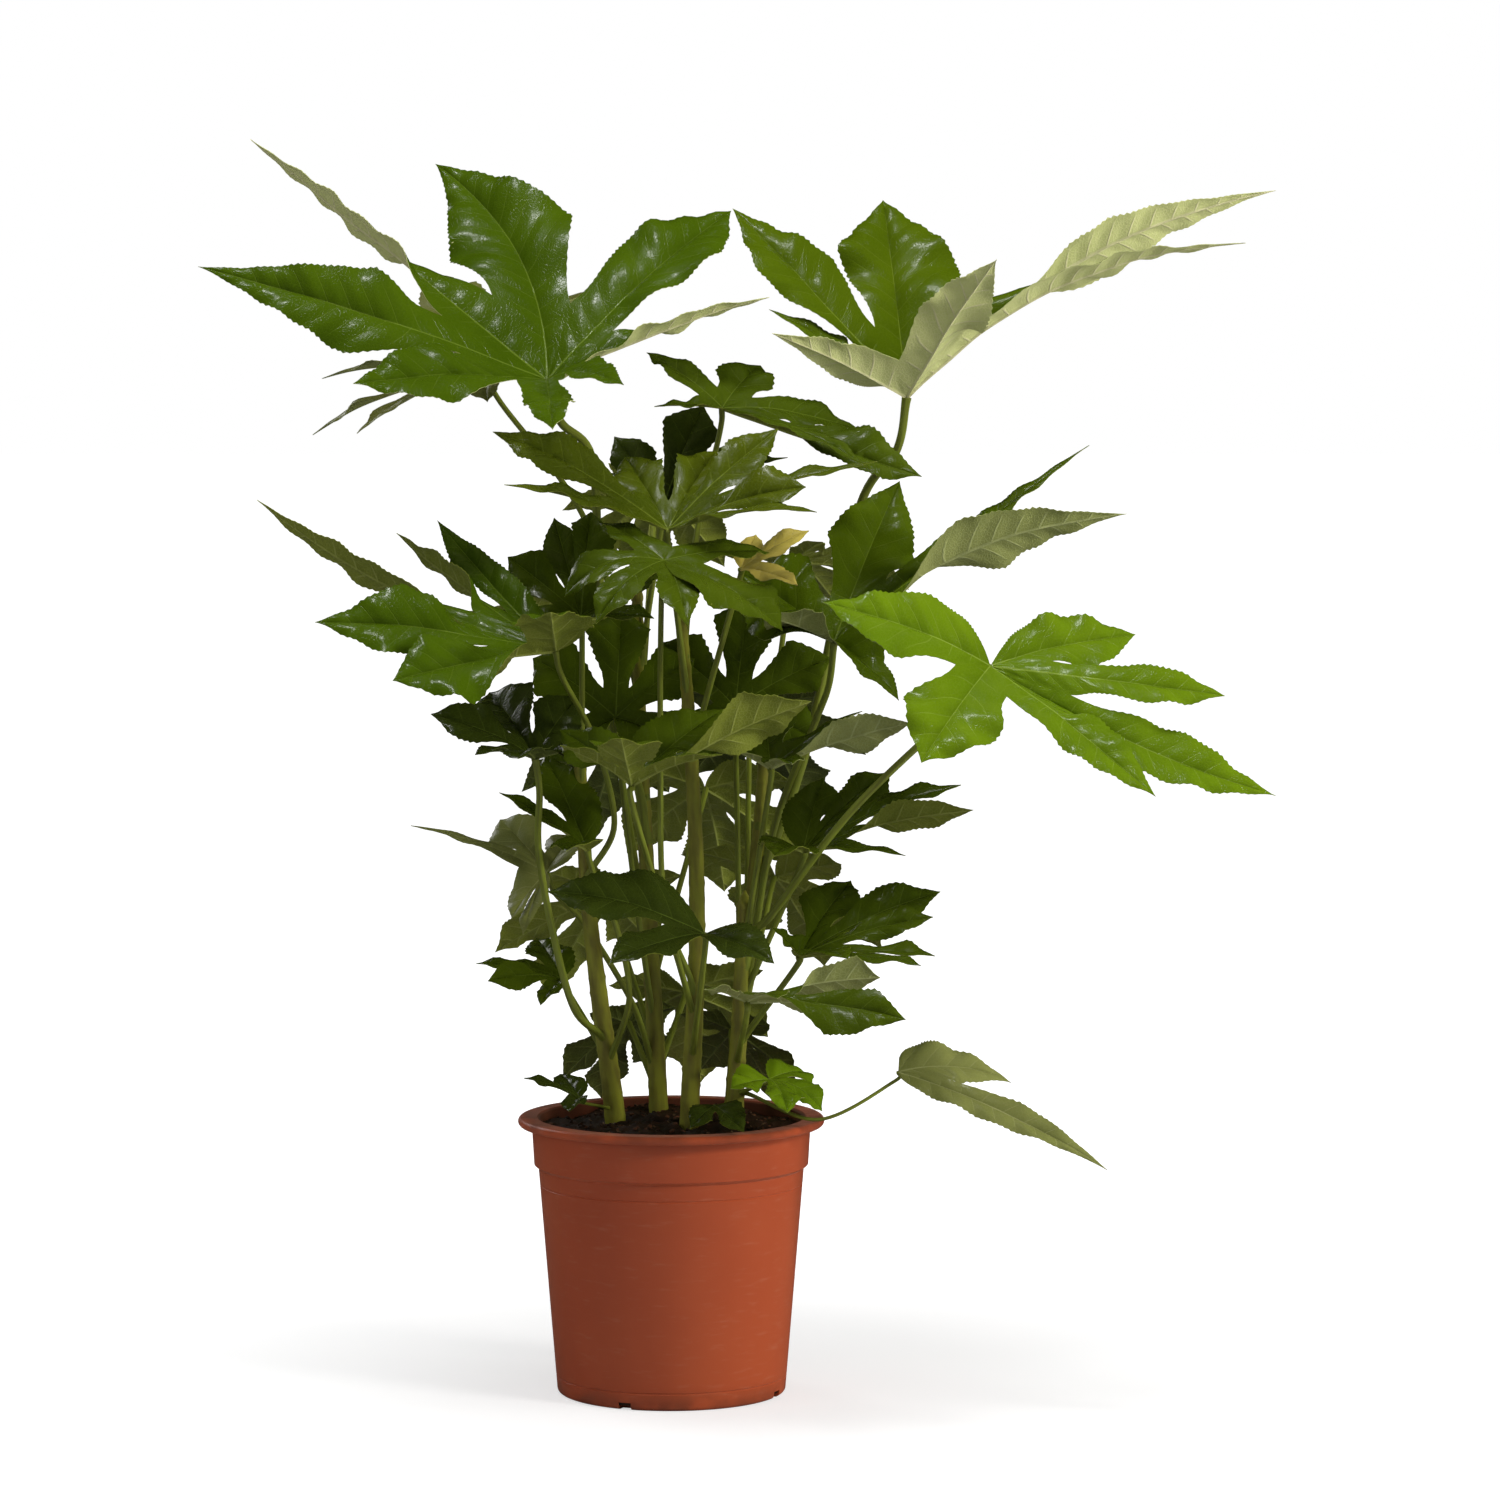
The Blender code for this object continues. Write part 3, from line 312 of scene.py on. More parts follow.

# %% [markdown]
# ## The leaf's finishes
#
# The upper side of a fatsia leaf has a waxy skin: a sharp gloss over a slightly quilted
# blade, deep green between paler ribs. The lower side has no wax. It is matt, much paler and
# greyer, and its ribs stand proud. So a leaf carries two finishes, and a third for its
# petiole. A leaf's own green tells its age: bright when young, olive or yellow when old. The
# other greens are painted light and shade: darker copies for leaves that sit in shadow, and
# lighter ones where light shines through the blade. One builder makes each kind of finish
# from its colours.

# %% Upper side
UPPER_SHOWN = {"Net": 0.10, "Lateral": 0.26, "Midrib": 0.75}
NET_SUNKEN = 0.35
PUFF = 2.4
WAX_SPREAD = 0.06
WAX_IOR = 1.40
WAX_COAT = 0.10


def upper_finish(name, deep, light, rib, roughness):
    """Deep and light are the blade's two greens, and rib the colour of its ribs."""
    material, tree, shader = new_material(name)
    lines = vein_masks(tree)
    drift = use_group(tree, mottle, {"Scale": 14.0, "Contrast": 0.3})
    colour = mix_colours(tree, drift.outputs["Mask"], deep, light)
    for label, amount in UPPER_SHOWN.items():
        shown = calculate(tree, "MULTIPLY", lines[label], amount)
        colour = mix_colours(tree, shown, colour, rib)
    wax = use_group(tree, mottle, {"Scale": 60.0, "Contrast": 0.2})
    gloss = ramp(tree, wax.outputs["Mask"], 0.0, 1.0, roughness, roughness + WAX_SPREAD)
    puffed = calculate(tree, "MULTIPLY", lines["Quilt"], PUFF)
    sunken = calculate(tree, "MULTIPLY", lines["Net"], NET_SUNKEN)
    sunken = calculate(tree, "ADD", sunken, lines["Lateral"])
    relief = calculate(tree, "SUBTRACT", puffed, sunken)
    join_finish(tree, shader, colour, gloss, relief, 0.6, 0.0003)
    shader.inputs["IOR"].default_value = WAX_IOR
    shader.inputs["Coat Weight"].default_value = WAX_COAT
    shader.inputs["Coat Roughness"].default_value = 0.10
    return material


# Each row holds the blade's two greens, its ribs' colour and its roughness. Deep, middle and moss
# are painted shade: darker copies of the green for leaves that sit in shadow. Lime is painted light
# shining through the blade. Green, bright, dusty, olive and yellow are the leaves' own colours.
UPPER_GREENS_LIT_AND_SHADED = {
    "deep": ((0.021, 0.032, 0.003), (0.036, 0.052, 0.005), (0.10, 0.14, 0.02), 0.19),
    "middle": ((0.044, 0.069, 0.002), (0.064, 0.096, 0.003), (0.13, 0.18, 0.02), 0.19),
    "green": ((0.060, 0.098, 0.001), (0.082, 0.130, 0.002), (0.16, 0.22, 0.02), 0.19),
    "moss": ((0.040, 0.076, 0.001), (0.060, 0.106, 0.002), (0.13, 0.19, 0.02), 0.18),
    "lime": ((0.046, 0.068, 0.002), (0.090, 0.115, 0.003), (0.20, 0.25, 0.03), 0.24),
    "bright": ((0.100, 0.176, 0.003), (0.142, 0.232, 0.004), (0.27, 0.37, 0.05), 0.17),
    "dusty": ((0.085, 0.092, 0.016), (0.130, 0.138, 0.030), (0.24, 0.26, 0.09), 0.36),
    "olive": ((0.180, 0.198, 0.048), (0.245, 0.262, 0.070), (0.40, 0.41, 0.16), 0.36),
    "yellow": ((0.42, 0.34, 0.050), (0.55, 0.44, 0.090), (0.58, 0.50, 0.16), 0.42),
}
UPPER = {name: upper_finish(f"leaf_upper_{name}", *row) for name, row in UPPER_GREENS_LIT_AND_SHADED.items()}
print("upper sides:", sorted(UPPER))

# %% Lower side
LOWER_LINE_WIDTH = 1.5
LOWER_NET_SHOWN = 0.22
LOWER_RIBS_SHOWN = 0.7
NET_RAISED = 0.4
QUILT_DEPTH = 1.8
LOWER_ROUGHNESS = (0.52, 0.68)


def lower_finish(name, deep, light, rib):
    material, tree, shader = new_material(name)
    lines = vein_masks(tree, LOWER_LINE_WIDTH)
    drift = use_group(tree, mottle, {"Scale": 18.0, "Contrast": 0.2})
    colour = mix_colours(tree, drift.outputs["Mask"], deep, light)
    ribs = calculate(tree, "MAXIMUM", lines["Midrib"], lines["Lateral"])
    for line, amount in ((lines["Net"], LOWER_NET_SHOWN), (ribs, LOWER_RIBS_SHOWN)):
        colour = mix_colours(tree, calculate(tree, "MULTIPLY", line, amount), colour, rib)
    raised = calculate(tree, "ADD", ribs, calculate(tree, "MULTIPLY", lines["Net"], NET_RAISED))
    hollow = calculate(tree, "MULTIPLY", lines["Quilt"], QUILT_DEPTH)
    relief = calculate(tree, "SUBTRACT", raised, hollow)
    down = use_group(tree, mottle, {"Scale": 90.0, "Contrast": 0.3})
    roughness = ramp(tree, down.outputs["Mask"], 0.0, 1.0, *LOWER_ROUGHNESS)
    join_finish(tree, shader, colour, roughness, relief, 0.8, 0.0005)
    shader.inputs["Specular IOR Level"].default_value = 0.2
    return material


# Deep and middle are painted shade: darker, greener copies for undersides in shadow. Pale is
# painted light shining through the blade. Green and yellow are the undersides' own colours.
LOWER_GREENS_LIT_AND_SHADED = {
    "deep": ((0.066, 0.084, 0.014), (0.092, 0.112, 0.020), (0.18, 0.21, 0.05)),
    "middle": ((0.152, 0.180, 0.018), (0.200, 0.226, 0.030), (0.31, 0.34, 0.08)),
    "green": ((0.220, 0.245, 0.070), (0.290, 0.315, 0.098), (0.42, 0.45, 0.19)),
    "pale": ((0.490, 0.520, 0.200), (0.600, 0.630, 0.260), (0.68, 0.64, 0.38)),
    "yellow": ((0.40, 0.34, 0.10), (0.50, 0.42, 0.14), (0.56, 0.50, 0.20)),
}
LOWER = {name: lower_finish(f"leaf_lower_{name}", *row) for name, row in LOWER_GREENS_LIT_AND_SHADED.items()}
print("lower sides:", sorted(LOWER))

# %% Petiole and stem skin
STREAKS_PER_METRE = 30.0
STREAKS_SHOWN = 0.55
DRIFT_SHOWN = 0.35
SKIN_SPREAD = 0.15


def stalk_finish(name, green, brown, roughness, streaks_round):
    """A skin with streaks along it. A point's turn round the stalk is U, its length V."""
    material, tree, shader = new_material(name)
    along = make(tree, "ShaderNodeUVMap", uv_map="blade").outputs[0]
    scale = (streaks_round, STREAKS_PER_METRE, 1.0)
    stretched = make(tree, "ShaderNodeMapping", {"Vector": along, "Scale": scale}).outputs[0]
    streaks = make(tree, "ShaderNodeTexNoise", {"Vector": stretched, "Scale": 1.0, "Detail": 3.0})
    streaks = streaks.outputs["Fac"]
    drift = use_group(tree, mottle, {"Scale": 30.0, "Contrast": 0.3}).outputs["Mask"]
    brownness = calculate(tree, "MULTIPLY", ramp(tree, streaks, 0.35, 0.7), STREAKS_SHOWN)
    slow = calculate(tree, "MULTIPLY", drift, DRIFT_SHOWN)
    colour = mix_colours(tree, calculate(tree, "ADD", brownness, slow), green, brown)
    fine = use_group(tree, grain, {"Scale": 700.0, "Strength": 0.5})
    relief = calculate(tree, "ADD", fine.outputs["Height"], streaks)
    shine = ramp(tree, drift, 0.0, 1.0, roughness, roughness + SKIN_SPREAD)
    join_finish(tree, shader, colour, shine, relief, 0.4, 0.0004)
    return material


PETIOLE = stalk_finish("petiole_skin", (0.200, 0.245, 0.024), (0.100, 0.105, 0.014), 0.44, 9.0)
BARK = stalk_finish("stem_bark", (0.270, 0.280, 0.024), (0.120, 0.092, 0.018), 0.50, 6.0)
print("skins:", PETIOLE.name, BARK.name)

# %% [markdown]
# ## The stems
#
# Five woody stems carry all the leaves. Each leaned where the light was, so its line is a
# smooth curve through a few known points. A curve object with a bevel would do, but real bark
# has a raised scar wherever an old leaf fell, and a bud at the end. So each stem is lofted as
# rings of points, and every ring can be as wide as the stem is there.

# %% Lines and rings


def smooth_points(points, count):
    """count + 1 points on a smooth curve through the given points."""
    points = [Vector(point) for point in points]
    padded = [points[0] * 2 - points[1], *points, points[-1] * 2 - points[-2]]
    spans = len(points) - 1
    result = []
    for step in range(count + 1):
        where = step * spans / count
        span = min(int(where), spans - 1)
        t = where - span
        a, b, c, d = padded[span : span + 4]
        bend = (2 * b) + (c - a) * t + (2 * a - 5 * b + 4 * c - d) * t**2
        result.append(0.5 * (bend + (3 * b - a - 3 * c + d) * t**3))
    return result


def smoothstep(value):
    value = max(0.0, min(1.0, value))
    return value * value * (3 - 2 * value)


def ring_frames(line):
    """For each point of a line its direction and two directions square to it, untwisted."""
    frames = []
    side = None
    for k, point in enumerate(line):
        ahead = line[min(k + 1, len(line) - 1)] - line[max(k - 1, 0)]
        ahead = ahead.normalized()
        if side is None:
            side = ahead.orthogonal().normalized()
        side = (side - side.dot(ahead) * ahead).normalized()
        frames.append((ahead, side, ahead.cross(side)))
    return frames


def loft(line, radius_at, sides):
    """Points, faces and their map for a round skin along a line. radius_at is called with the
    number of the ring, the length so far and the turn in radians. The ends are closed."""
    points = []
    maps = []
    length = 0.0
    for k, (ahead, side, other) in enumerate(ring_frames(line)):
        if k:
            length += (line[k] - line[k - 1]).length
        for j in range(sides):
            turn = j * math.tau / sides
            radius = radius_at(k, length, turn)
            points.append(line[k] + (side * math.cos(turn) + other * math.sin(turn)) * radius)
        maps.append(length)
    faces = []
    corners = []
    for k in range(len(line) - 1):
        for j in range(sides):
            following = (j + 1) % sides
            low, high = k * sides, (k + 1) * sides
            faces.append((low + j, low + following, high + following, high + j))
            right, top = (j + 1) / sides, maps[k + 1]
            corners += [(j / sides, maps[k]), (right, maps[k]), (right, top), (j / sides, top)]
    last = (len(line) - 1) * sides
    faces.append(tuple(reversed(range(sides))))
    faces.append(tuple(range(last, last + sides)))
    corners += [(0.5, 0.0)] * sides + [(0.5, length)] * sides
    return points, faces, corners


PIECES = []


def add_piece(name, points, faces, maps=None, materials=(), numbers=None, crease=60.0):
    """A mesh object with its maps, by name, and the number of each face's material."""
    mesh = bpy.data.meshes.new(name)
    mesh.from_pydata([tuple(point) for point in points], [], faces)
    for label, corners in (maps or {}).items():
        layer = mesh.uv_layers.new(name=label)
        layer.uv.foreach_set("vector", np.asarray(corners, np.float32).ravel())
    for material in materials:
        mesh.materials.append(material)
    if numbers is not None:
        mesh.polygons.foreach_set("material_index", np.asarray(numbers, np.int32))
    mesh.shade_smooth()
    mesh.set_sharp_from_angle(angle=math.radians(crease))
    mesh.update()
    piece = bpy.data.objects.new(name, mesh)
    bpy.context.scene.collection.objects.link(piece)
    PIECES.append(piece)
    return piece


turns = ring_frames(smooth_points([(0, 0, 0), (0, 1, 1), (0, 1, 3)], 8))
print("a trial line has", len(turns), "rings")

# %% Where the stems are
MM = 0.001
STEM_DEPTH = 0.125
# Each stem's line from the soil to its top, and its radius below and above, in millimetres.
STEMS = {
    "stem_left": {
        "line": [(-34, 12, 150), (-40, 8, 200), (-49, 2, 270), (-57, -4, 345), (-62, -10, 440)],
        "thick": (8.0, 4.0),
    },
    "stem_centre": {
        "line": [(10, -12, 150), (13, -14, 200), (18, -14, 320), (14, -10, 440), (6, -14, 545)],
        "thick": (7.5, 3.6),
    },
    "stem_right": {
        "line": [(42, -20, 150), (44, -22, 200), (47, -26, 265), (50, -28, 335)],
        "thick": (6.5, 4.6),
    },
    "stem_back": {
        "line": [(-8, 48, 150), (-10, 50, 200), (-16, 58, 320), (-22, 62, 450), (-24, 60, 540)],
        "thick": (7.5, 3.6),
    },
    "stem_back_right": {
        "line": [(40, 34, 150), (43, 38, 200), (52, 46, 300), (60, 50, 380), (64, 50, 440)],
        "thick": (7.0, 3.6),
    },
}
STEM_RINGS = 10


def stem_axis(name, rings=STEM_RINGS):
    line = [Vector(point) * MM for point in STEMS[name]["line"]]
    line[0].z = STEM_DEPTH
    return smooth_points(line, rings)


def point_on_stem(name, height):
    """The middle of the stem at this height in millimetres, and the stem's direction there."""
    axis = stem_axis(name)
    level = height * MM
    for lower, upper in zip(axis, axis[1:]):
        if lower.z <= level <= upper.z:
            part = (level - lower.z) / (upper.z - lower.z)
            return lower.lerp(upper, part), (upper - lower).normalized()
    return axis[-1].copy(), (axis[-1] - axis[-2]).normalized()


print("stems:", list(STEMS))

# %% Bark, scars and buds
GAP = 0.0003
FINE_RINGS = 170
BUD_RINGS = 16
BUD_LENGTH = 0.013
SCAR_STEP = 0.013
SCAR_TURN = math.radians(137.5)
FIRST_SCAR = 0.02
LAST_SCAR = 0.5
SCAR_HEIGHT = 0.0006
SCAR_WIDTH = 0.0016
ROUGHNESS_SIZE = 0.00022
STEM_SIDES = 22
BARK_SEED = 5


def grow_stem(name):
    draw = random.Random(BARK_SEED + len(name))
    low, high = (value * MM for value in STEMS[name]["thick"])
    line = stem_axis(name, FINE_RINGS)
    ahead = (line[-1] - line[-2]).normalized()
    line += [line[-1] + ahead * BUD_LENGTH * (k + 1) / BUD_RINGS for k in range(BUD_RINGS)]
    scars = []
    height = FIRST_SCAR
    while height < LAST_SCAR:
        scars.append((height, len(scars) * SCAR_TURN, draw.uniform(0.7, 1.3)))
        height += SCAR_STEP * draw.uniform(0.7, 1.4)

    def radius_at(ring, length, turn):
        if ring > FINE_RINGS:
            part = (ring - FINE_RINGS) / BUD_RINGS
            scales = 1.0 + 0.10 * math.cos(3 * turn + 5 * part)
            return high * (1.05 - part**1.6) * scales * (1.0 + 0.6 * part * (1 - part)) + GAP
        radius = low + (high - low) * ring / FINE_RINGS
        for place, middle, strength in scars:
            rise = (length - place) / SCAR_WIDTH
            if abs(rise) < 3:
                round_it = 0.35 + 0.65 * max(0.0, math.cos(turn - middle)) ** 0.7
                radius += SCAR_HEIGHT * strength * math.exp(-rise * rise) * round_it
        spot = Vector((math.cos(turn) * 2.2, math.sin(turn) * 2.2, length * 160.0))
        return radius + ROUGHNESS_SIZE * noise.noise(spot)

    points, faces, corners = loft(line, radius_at, STEM_SIDES)
    piece = add_piece(f"bark_{name}", points, faces, {"blade": corners}, [BARK])
    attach(piece, "root")
    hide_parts(name)


for stem_name in STEMS:
    grow_stem(stem_name)
print("stems grown:", len(STEMS), "with", FINE_RINGS + BUD_RINGS, "rings each")

# %% [markdown]
# ## The leaves' plan
#
# A leaf is a hub, the way it faces, the stem and height that its petiole comes from, and a
# list of lobes. Each lobe is the way to its tip and a few numbers for its form. Modelling
# forty leaves by hand would give forty meshes with nothing in common. A plan of numbers lets
# one set of rules grow them all, and any lobe can be bent without touching a vertex.

# %% Lobe forms
SWELL = 1.45
PETIOLE_WIDTH = 0.0046
TO_FRONT = (0.0, -1.0, 0.5)
TO_BACK = (0.0, 1.0, 0.5)
# The greens of the upper and the lower side that several leaves share. The first pair has the
# plain green above and painted shade below. The other three are painted shade above and below,
# for leaves that sit in shadow.
SUNNY = ("green", "middle")
PAINTED_SHADE_MIDDLE = ("middle", "middle")
PAINTED_SHADE_ABOVE = ("deep", "middle")
PAINTED_SHADE_DARK = ("deep", "deep")


def lobe(right, away, up, width=0.18, arch=0.10, face=None, swell=SWELL, sweep=0.0):
    """The tip from the hub in millimetres, then the half width and the bulge as parts of the
    length. The upper side looks along face by the lobe's middle. A larger swell puts the
    widest part nearer the tip, and sweep bends the midrib to the left."""
    return {
        "tip": Vector((right, away, up)) * MM,
        "width": width,
        "arch": arch,
        "face": Vector(face).normalized() if face else None,
        "swell": swell,
        "sweep": sweep,
    }


def plan_leaf(hub, facing, stem, *lobes, via=(), petiole=PETIOLE_WIDTH, slot="leaf", greens=PAINTED_SHADE_DARK):
    """The hub in millimetres, the way the upper side looks there, the stem with the height on
    it where the petiole starts, and the lobes in their order round the hub. The petiole goes
    through the places in via."""
    return {
        "hub": hub,
        "facing": facing,
        "stem": stem,
        "lobes": lobes,
        "via": via,
        "petiole": petiole,
        "slot": slot,
        "greens": greens,
    }


print("a lobe has", len(lobe(0, 0, 1)), "values")

# %% The leaves that can be told apart
LEAVES = {
    "leaf_top_left": plan_leaf(
        (-83, -20, 693), (-0.10, -0.45, 1.0), ("stem_back", 372),
        lobe(150, 10, 56, 0.09, 0.06, (0.0, 0.35, 1.0)),
        lobe(124, 80, 116, 0.19, 0.10, (-0.4, -1.0, 0.8), 2.2, -0.04),
        lobe(-82, 120, 150, 0.25, 0.06, (0.1, -1.0, 0.3), 0.8, -0.20),
        lobe(-207, 80, 165, 0.055, 0.0, (0.2, 0.6, 1.0)),
        lobe(-233, -20, 76, 0.18, 0.05, (-0.1, -1.0, 0.5), 0.45, 0.03),
        lobe(-126, -66, -2, 0.20, 0.06, (0.0, -0.8, 0.8)),
        lobe(8, -110, -33, 0.15, 0.10),
        lobe(54, -90, -3, 0.18, 0.14),
        via=[(-40, 54, 450), (-50, 44, 560), (-54, 18, 640)], petiole=0.0070,
        greens=("moss", "pale"),
    ),
    "leaf_top_left_back": plan_leaf(
        (-130, 90, 702), (-0.2, 0.0, 1.0), ("stem_back", 470),
        lobe(85, 60, 58, 0.20),
        lobe(-40, 75, 66, 0.24),
        lobe(-115, 15, -8, 0.15),
        lobe(-118, -30, -47, 0.13),
        lobe(-85, -60, -46, 0.15),
        lobe(5, -75, -24, 0.22),
        via=[(-62, 66, 600)], greens=("dusty", "green"),
    ),
    "leaf_top_right": plan_leaf(
        (161, 20, 681), (0.0, 0.05, 1.0), ("stem_back_right", 300),
        lobe(-92, -25, 44, 0.16, 0.04, (0.0, 1.0, 0.8), 0.7),
        lobe(58, -70, 92, 0.19, 0.04, (0.0, 1.0, 0.5), 1.0),
        lobe(228, -30, 104, 0.095, 0.20, (0.0, 0.3, 1.0), 0.6),
        lobe(254, 30, 142, 0.115, 0.16, (0.0, 1.0, 0.6), 0.3),
        lobe(-14, 100, 137, 0.27, 0.04, (0.0, -1.0, 0.3)),
        lobe(-119, 70, 131, 0.18, 0.04, (0.5, -1.0, 0.4), 1.0, 0.07),
        lobe(-94, 25, 60, 0.10, 0.06, (0.2, -0.6, 1.0)),
        via=[(94, 64, 440), (128, 62, 600)], petiole=0.0070, greens=("green", "pale"),
    ),
    "leaf_crown_back": plan_leaf(
        (35, 14, 674), (0.0, -0.25, 1.0), ("stem_centre", 500),
        lobe(102, -50, -42, 0.09),
        lobe(135, -40, -46, 0.18, -0.02, (0.1, -0.9, 0.8)),
        lobe(93, 20, -14, 0.18, 0.10, (0.1, -0.7, 1.0)),
        lobe(26, 60, 28, 0.30, 0.10, (0.0, -0.8, 0.8)),
        lobe(-52, 30, 38, 0.22),
        lobe(-46, -12, 0, 0.16),
        via=[(18, 10, 590)], slot="leaf_young", greens=PAINTED_SHADE_MIDDLE,
    ),
    "leaf_crown": plan_leaf(
        (-1, -60, 593), (0.0, -0.25, 1.0), ("stem_centre", 470),
        lobe(99, -65, 14, 0.11),
        lobe(92, -38, 30, 0.28, 0.08, (0.0, -1.0, 0.8)),
        lobe(140, -4, 46, 0.08),
        lobe(74, 35, 68, 0.20, 0.04, (-0.5, -1.0, 0.3)),
        lobe(32, 60, 52, 0.30, 0.04, TO_FRONT),
        lobe(-30, 60, 48, 0.32, 0.04, TO_FRONT),
        lobe(-118, 25, 66, 0.17, 0.08, (0.0, -0.7, 1.0)),
        lobe(-108, -30, 31, 0.13, 0.08),
        slot="leaf_young", greens=("lime", "middle"),
    ),
    "leaf_crown_dark": plan_leaf(
        (-6, 42, 606), (0.0, -0.2, 1.0), ("stem_back", 480),
        lobe(86, 0, 34, 0.24),
        lobe(70, 50, 40, 0.26),
        lobe(28, 24, 70, 0.34, 0.04, TO_FRONT),
        lobe(-34, 26, 48, 0.28, 0.04, TO_FRONT),
        lobe(-36, -10, 24, 0.34),
    ),
    "leaf_middle_dark": plan_leaf(
        (44, 36, 468), (0.0, -0.3, 1.0), ("stem_back_right", 236),
        lobe(56, -8, -22, 0.36, 0.08, TO_FRONT),
        lobe(66, 4, 34, 0.36, 0.08, TO_FRONT),
        lobe(10, 20, 74, 0.42, 0.08, TO_FRONT),
        lobe(-52, 14, 44, 0.38, 0.08, TO_FRONT),
        lobe(-40, -4, -34, 0.40, 0.08, TO_FRONT),
        via=[(46, 24, 345)], greens=PAINTED_SHADE_MIDDLE,
    ),
    "leaf_middle_left": plan_leaf(
        (-38, 22, 462), (0.0, -0.3, 1.0), ("stem_back", 222),
        lobe(50, -26, -20, 0.34, 0.08, TO_FRONT),
        lobe(54, 10, 40, 0.40, 0.08, TO_FRONT),
        lobe(4, 16, 74, 0.44, 0.08, TO_FRONT),
        lobe(-58, 20, 40, 0.42, 0.08, TO_FRONT),
        lobe(-48, 10, -30, 0.40, 0.08, TO_FRONT),
        via=[(-24, 38, 330)], greens=PAINTED_SHADE_MIDDLE,
    ),
    "leaf_yellow": plan_leaf(
        (48, -30, 566), (0.1, -0.6, 1.0), ("stem_centre", 430),
        lobe(38, -40, -10, 0.20),
        lobe(46, 5, 26, 0.22),
        lobe(10, 30, 22, 0.24),
        slot="leaf_yellow", greens=("yellow", "yellow"),
    ),
    "leaf_inner_left": plan_leaf(
        (-60, -34, 534), (-0.1, -0.3, 1.0), ("stem_left", 400),
        lobe(50, -30, 0, 0.24),
        lobe(56, 34, 30, 0.30),
        lobe(6, 32, 70, 0.36, 0.04, TO_FRONT),
        lobe(-20, 50, 66, 0.18, 0.04, TO_FRONT),
        lobe(-50, 12, 40, 0.36, 0.04, TO_FRONT),
        lobe(-66, -28, -4, 0.22),
        greens=PAINTED_SHADE_MIDDLE,
    ),
    "leaf_inner_front": plan_leaf(
        (-3, -94, 574), (0.1, -0.25, 1.0), ("stem_centre", 240),
        lobe(78, -20, -46, 0.34, 0.14, (0.3, -0.6, 1.0)),
        lobe(70, 30, 4, 0.26),
        lobe(-44, 34, 24, 0.24),
        lobe(-66, 0, -24, 0.28, 0.34, (-0.2, -0.7, 1.0)),
        lobe(-44, -42, -40, 0.24, 0.24),
        lobe(16, -58, -42, 0.22, 0.20),
        via=[(-4, -40, 340), (-6, -66, 450)], slot="leaf_young", greens=PAINTED_SHADE_MIDDLE,
    ),
    "leaf_left": plan_leaf(
        (-75, -95, 514), (-0.1, -0.30, 1.0), ("stem_left", 330),
        lobe(-84, 98, 84, 0.10, -0.04, TO_FRONT),
        lobe(-110, 75, 76, 0.10, -0.04, (0.2, 0.8, 0.9)),
        lobe(-202, 48, 99, 0.065, -0.12, (0.2, 0.8, 0.9), 1.2),
        lobe(-158, -18, 20, 0.30, 0.06, (0.0, -1.0, 0.7), 0.55),
        lobe(-104, -62, -16, 0.28, 0.04, (0.0, -1.0, 0.7)),
        lobe(0, -84, 30, 0.30, 0.06, None, 1.2),
        via=[(-38, -28, 392), (-50, -50, 450)], greens=("moss", "middle"),
    ),
    "leaf_left_dark": plan_leaf(
        (-90, -62, 440), (-0.2, -0.3, 1.0), ("stem_left", 214),
        lobe(28, 20, 40, 0.40, 0.10, TO_FRONT),
        lobe(-34, 70, 40, 0.42, 0.10, TO_FRONT),
        lobe(-70, 0, 30, 0.28, 0.10, (-0.2, -0.8, 1.0)),
        lobe(-38, -48, 6, 0.22),
        lobe(-8, -78, 6, 0.26),
        lobe(58, -40, 8, 0.28),
        via=[(-65, -36, 268), (-79, -50, 322), (-88, -60, 378)], petiole=0.0056,
    ),
    "leaf_front": plan_leaf(
        (-24, -128, 427), (0.0, 0.05, 1.0), ("stem_centre", 245),
        lobe(-48, 32, 34, 0.30, 0.08, TO_FRONT),
        lobe(-46, -30, 28, 0.30),
        lobe(-5, -78, 36, 0.38, 0.04),
        lobe(60, -42, 24, 0.24),
        lobe(118, 0, 56, 0.22, 0.04, (0.1, 0.8, 0.8)),
        lobe(60, 60, 46, 0.24, 0.08, TO_FRONT),
        greens=PAINTED_SHADE_MIDDLE,
    ),
    "leaf_right": plan_leaf(
        (111, -20, 516), (0.0, -0.12, 1.0), ("stem_right", 228),
        lobe(-50, -45, 20, 0.38, 0.06, (0.0, 0.3, 1.0)),
        lobe(42, -66, -36, 0.13),
        lobe(197, -15, 87, 0.165, 0.19, (0.0, 1.0, 0.6), 0.35, -0.05),
        lobe(176, 55, 132, 0.08, 0.02, (0.0, -0.2, 1.0), 0.5),
        lobe(46, 60, 108, 0.24, 0.04, (0.0, -1.0, 0.3), 1.2),
        lobe(-64, 40, 46, 0.42, 0.06, TO_FRONT),
        via=[(58, 2, 320), (72, 10, 392), (98, -8, 460)], petiole=0.0056,
        greens=("green", "green"),
    ),
    "leaf_right_bright": plan_leaf(
        (214, -80, 503), (0.10, -0.75, 0.70), ("stem_right", 292),
        lobe(-112, -22, 43, 0.24, 0.12),
        lobe(-48, -70, -59, 0.34, 0.10),
        lobe(104, -88, -80, 0.12, 0.04),
        lobe(184, -66, -82, 0.115, 0.03, None, SWELL, -0.11),
        lobe(154, -30, -18, 0.10, 0.10, None, 2.6, -0.08),
        lobe(98, 18, 20, 0.25, 0.10, None, 1.8),
        via=[(70, -46, 335), (124, -74, 408)], petiole=0.0056, slot="leaf_young",
        greens=("bright", "green"),
    ),
    "leaf_right_inner": plan_leaf(
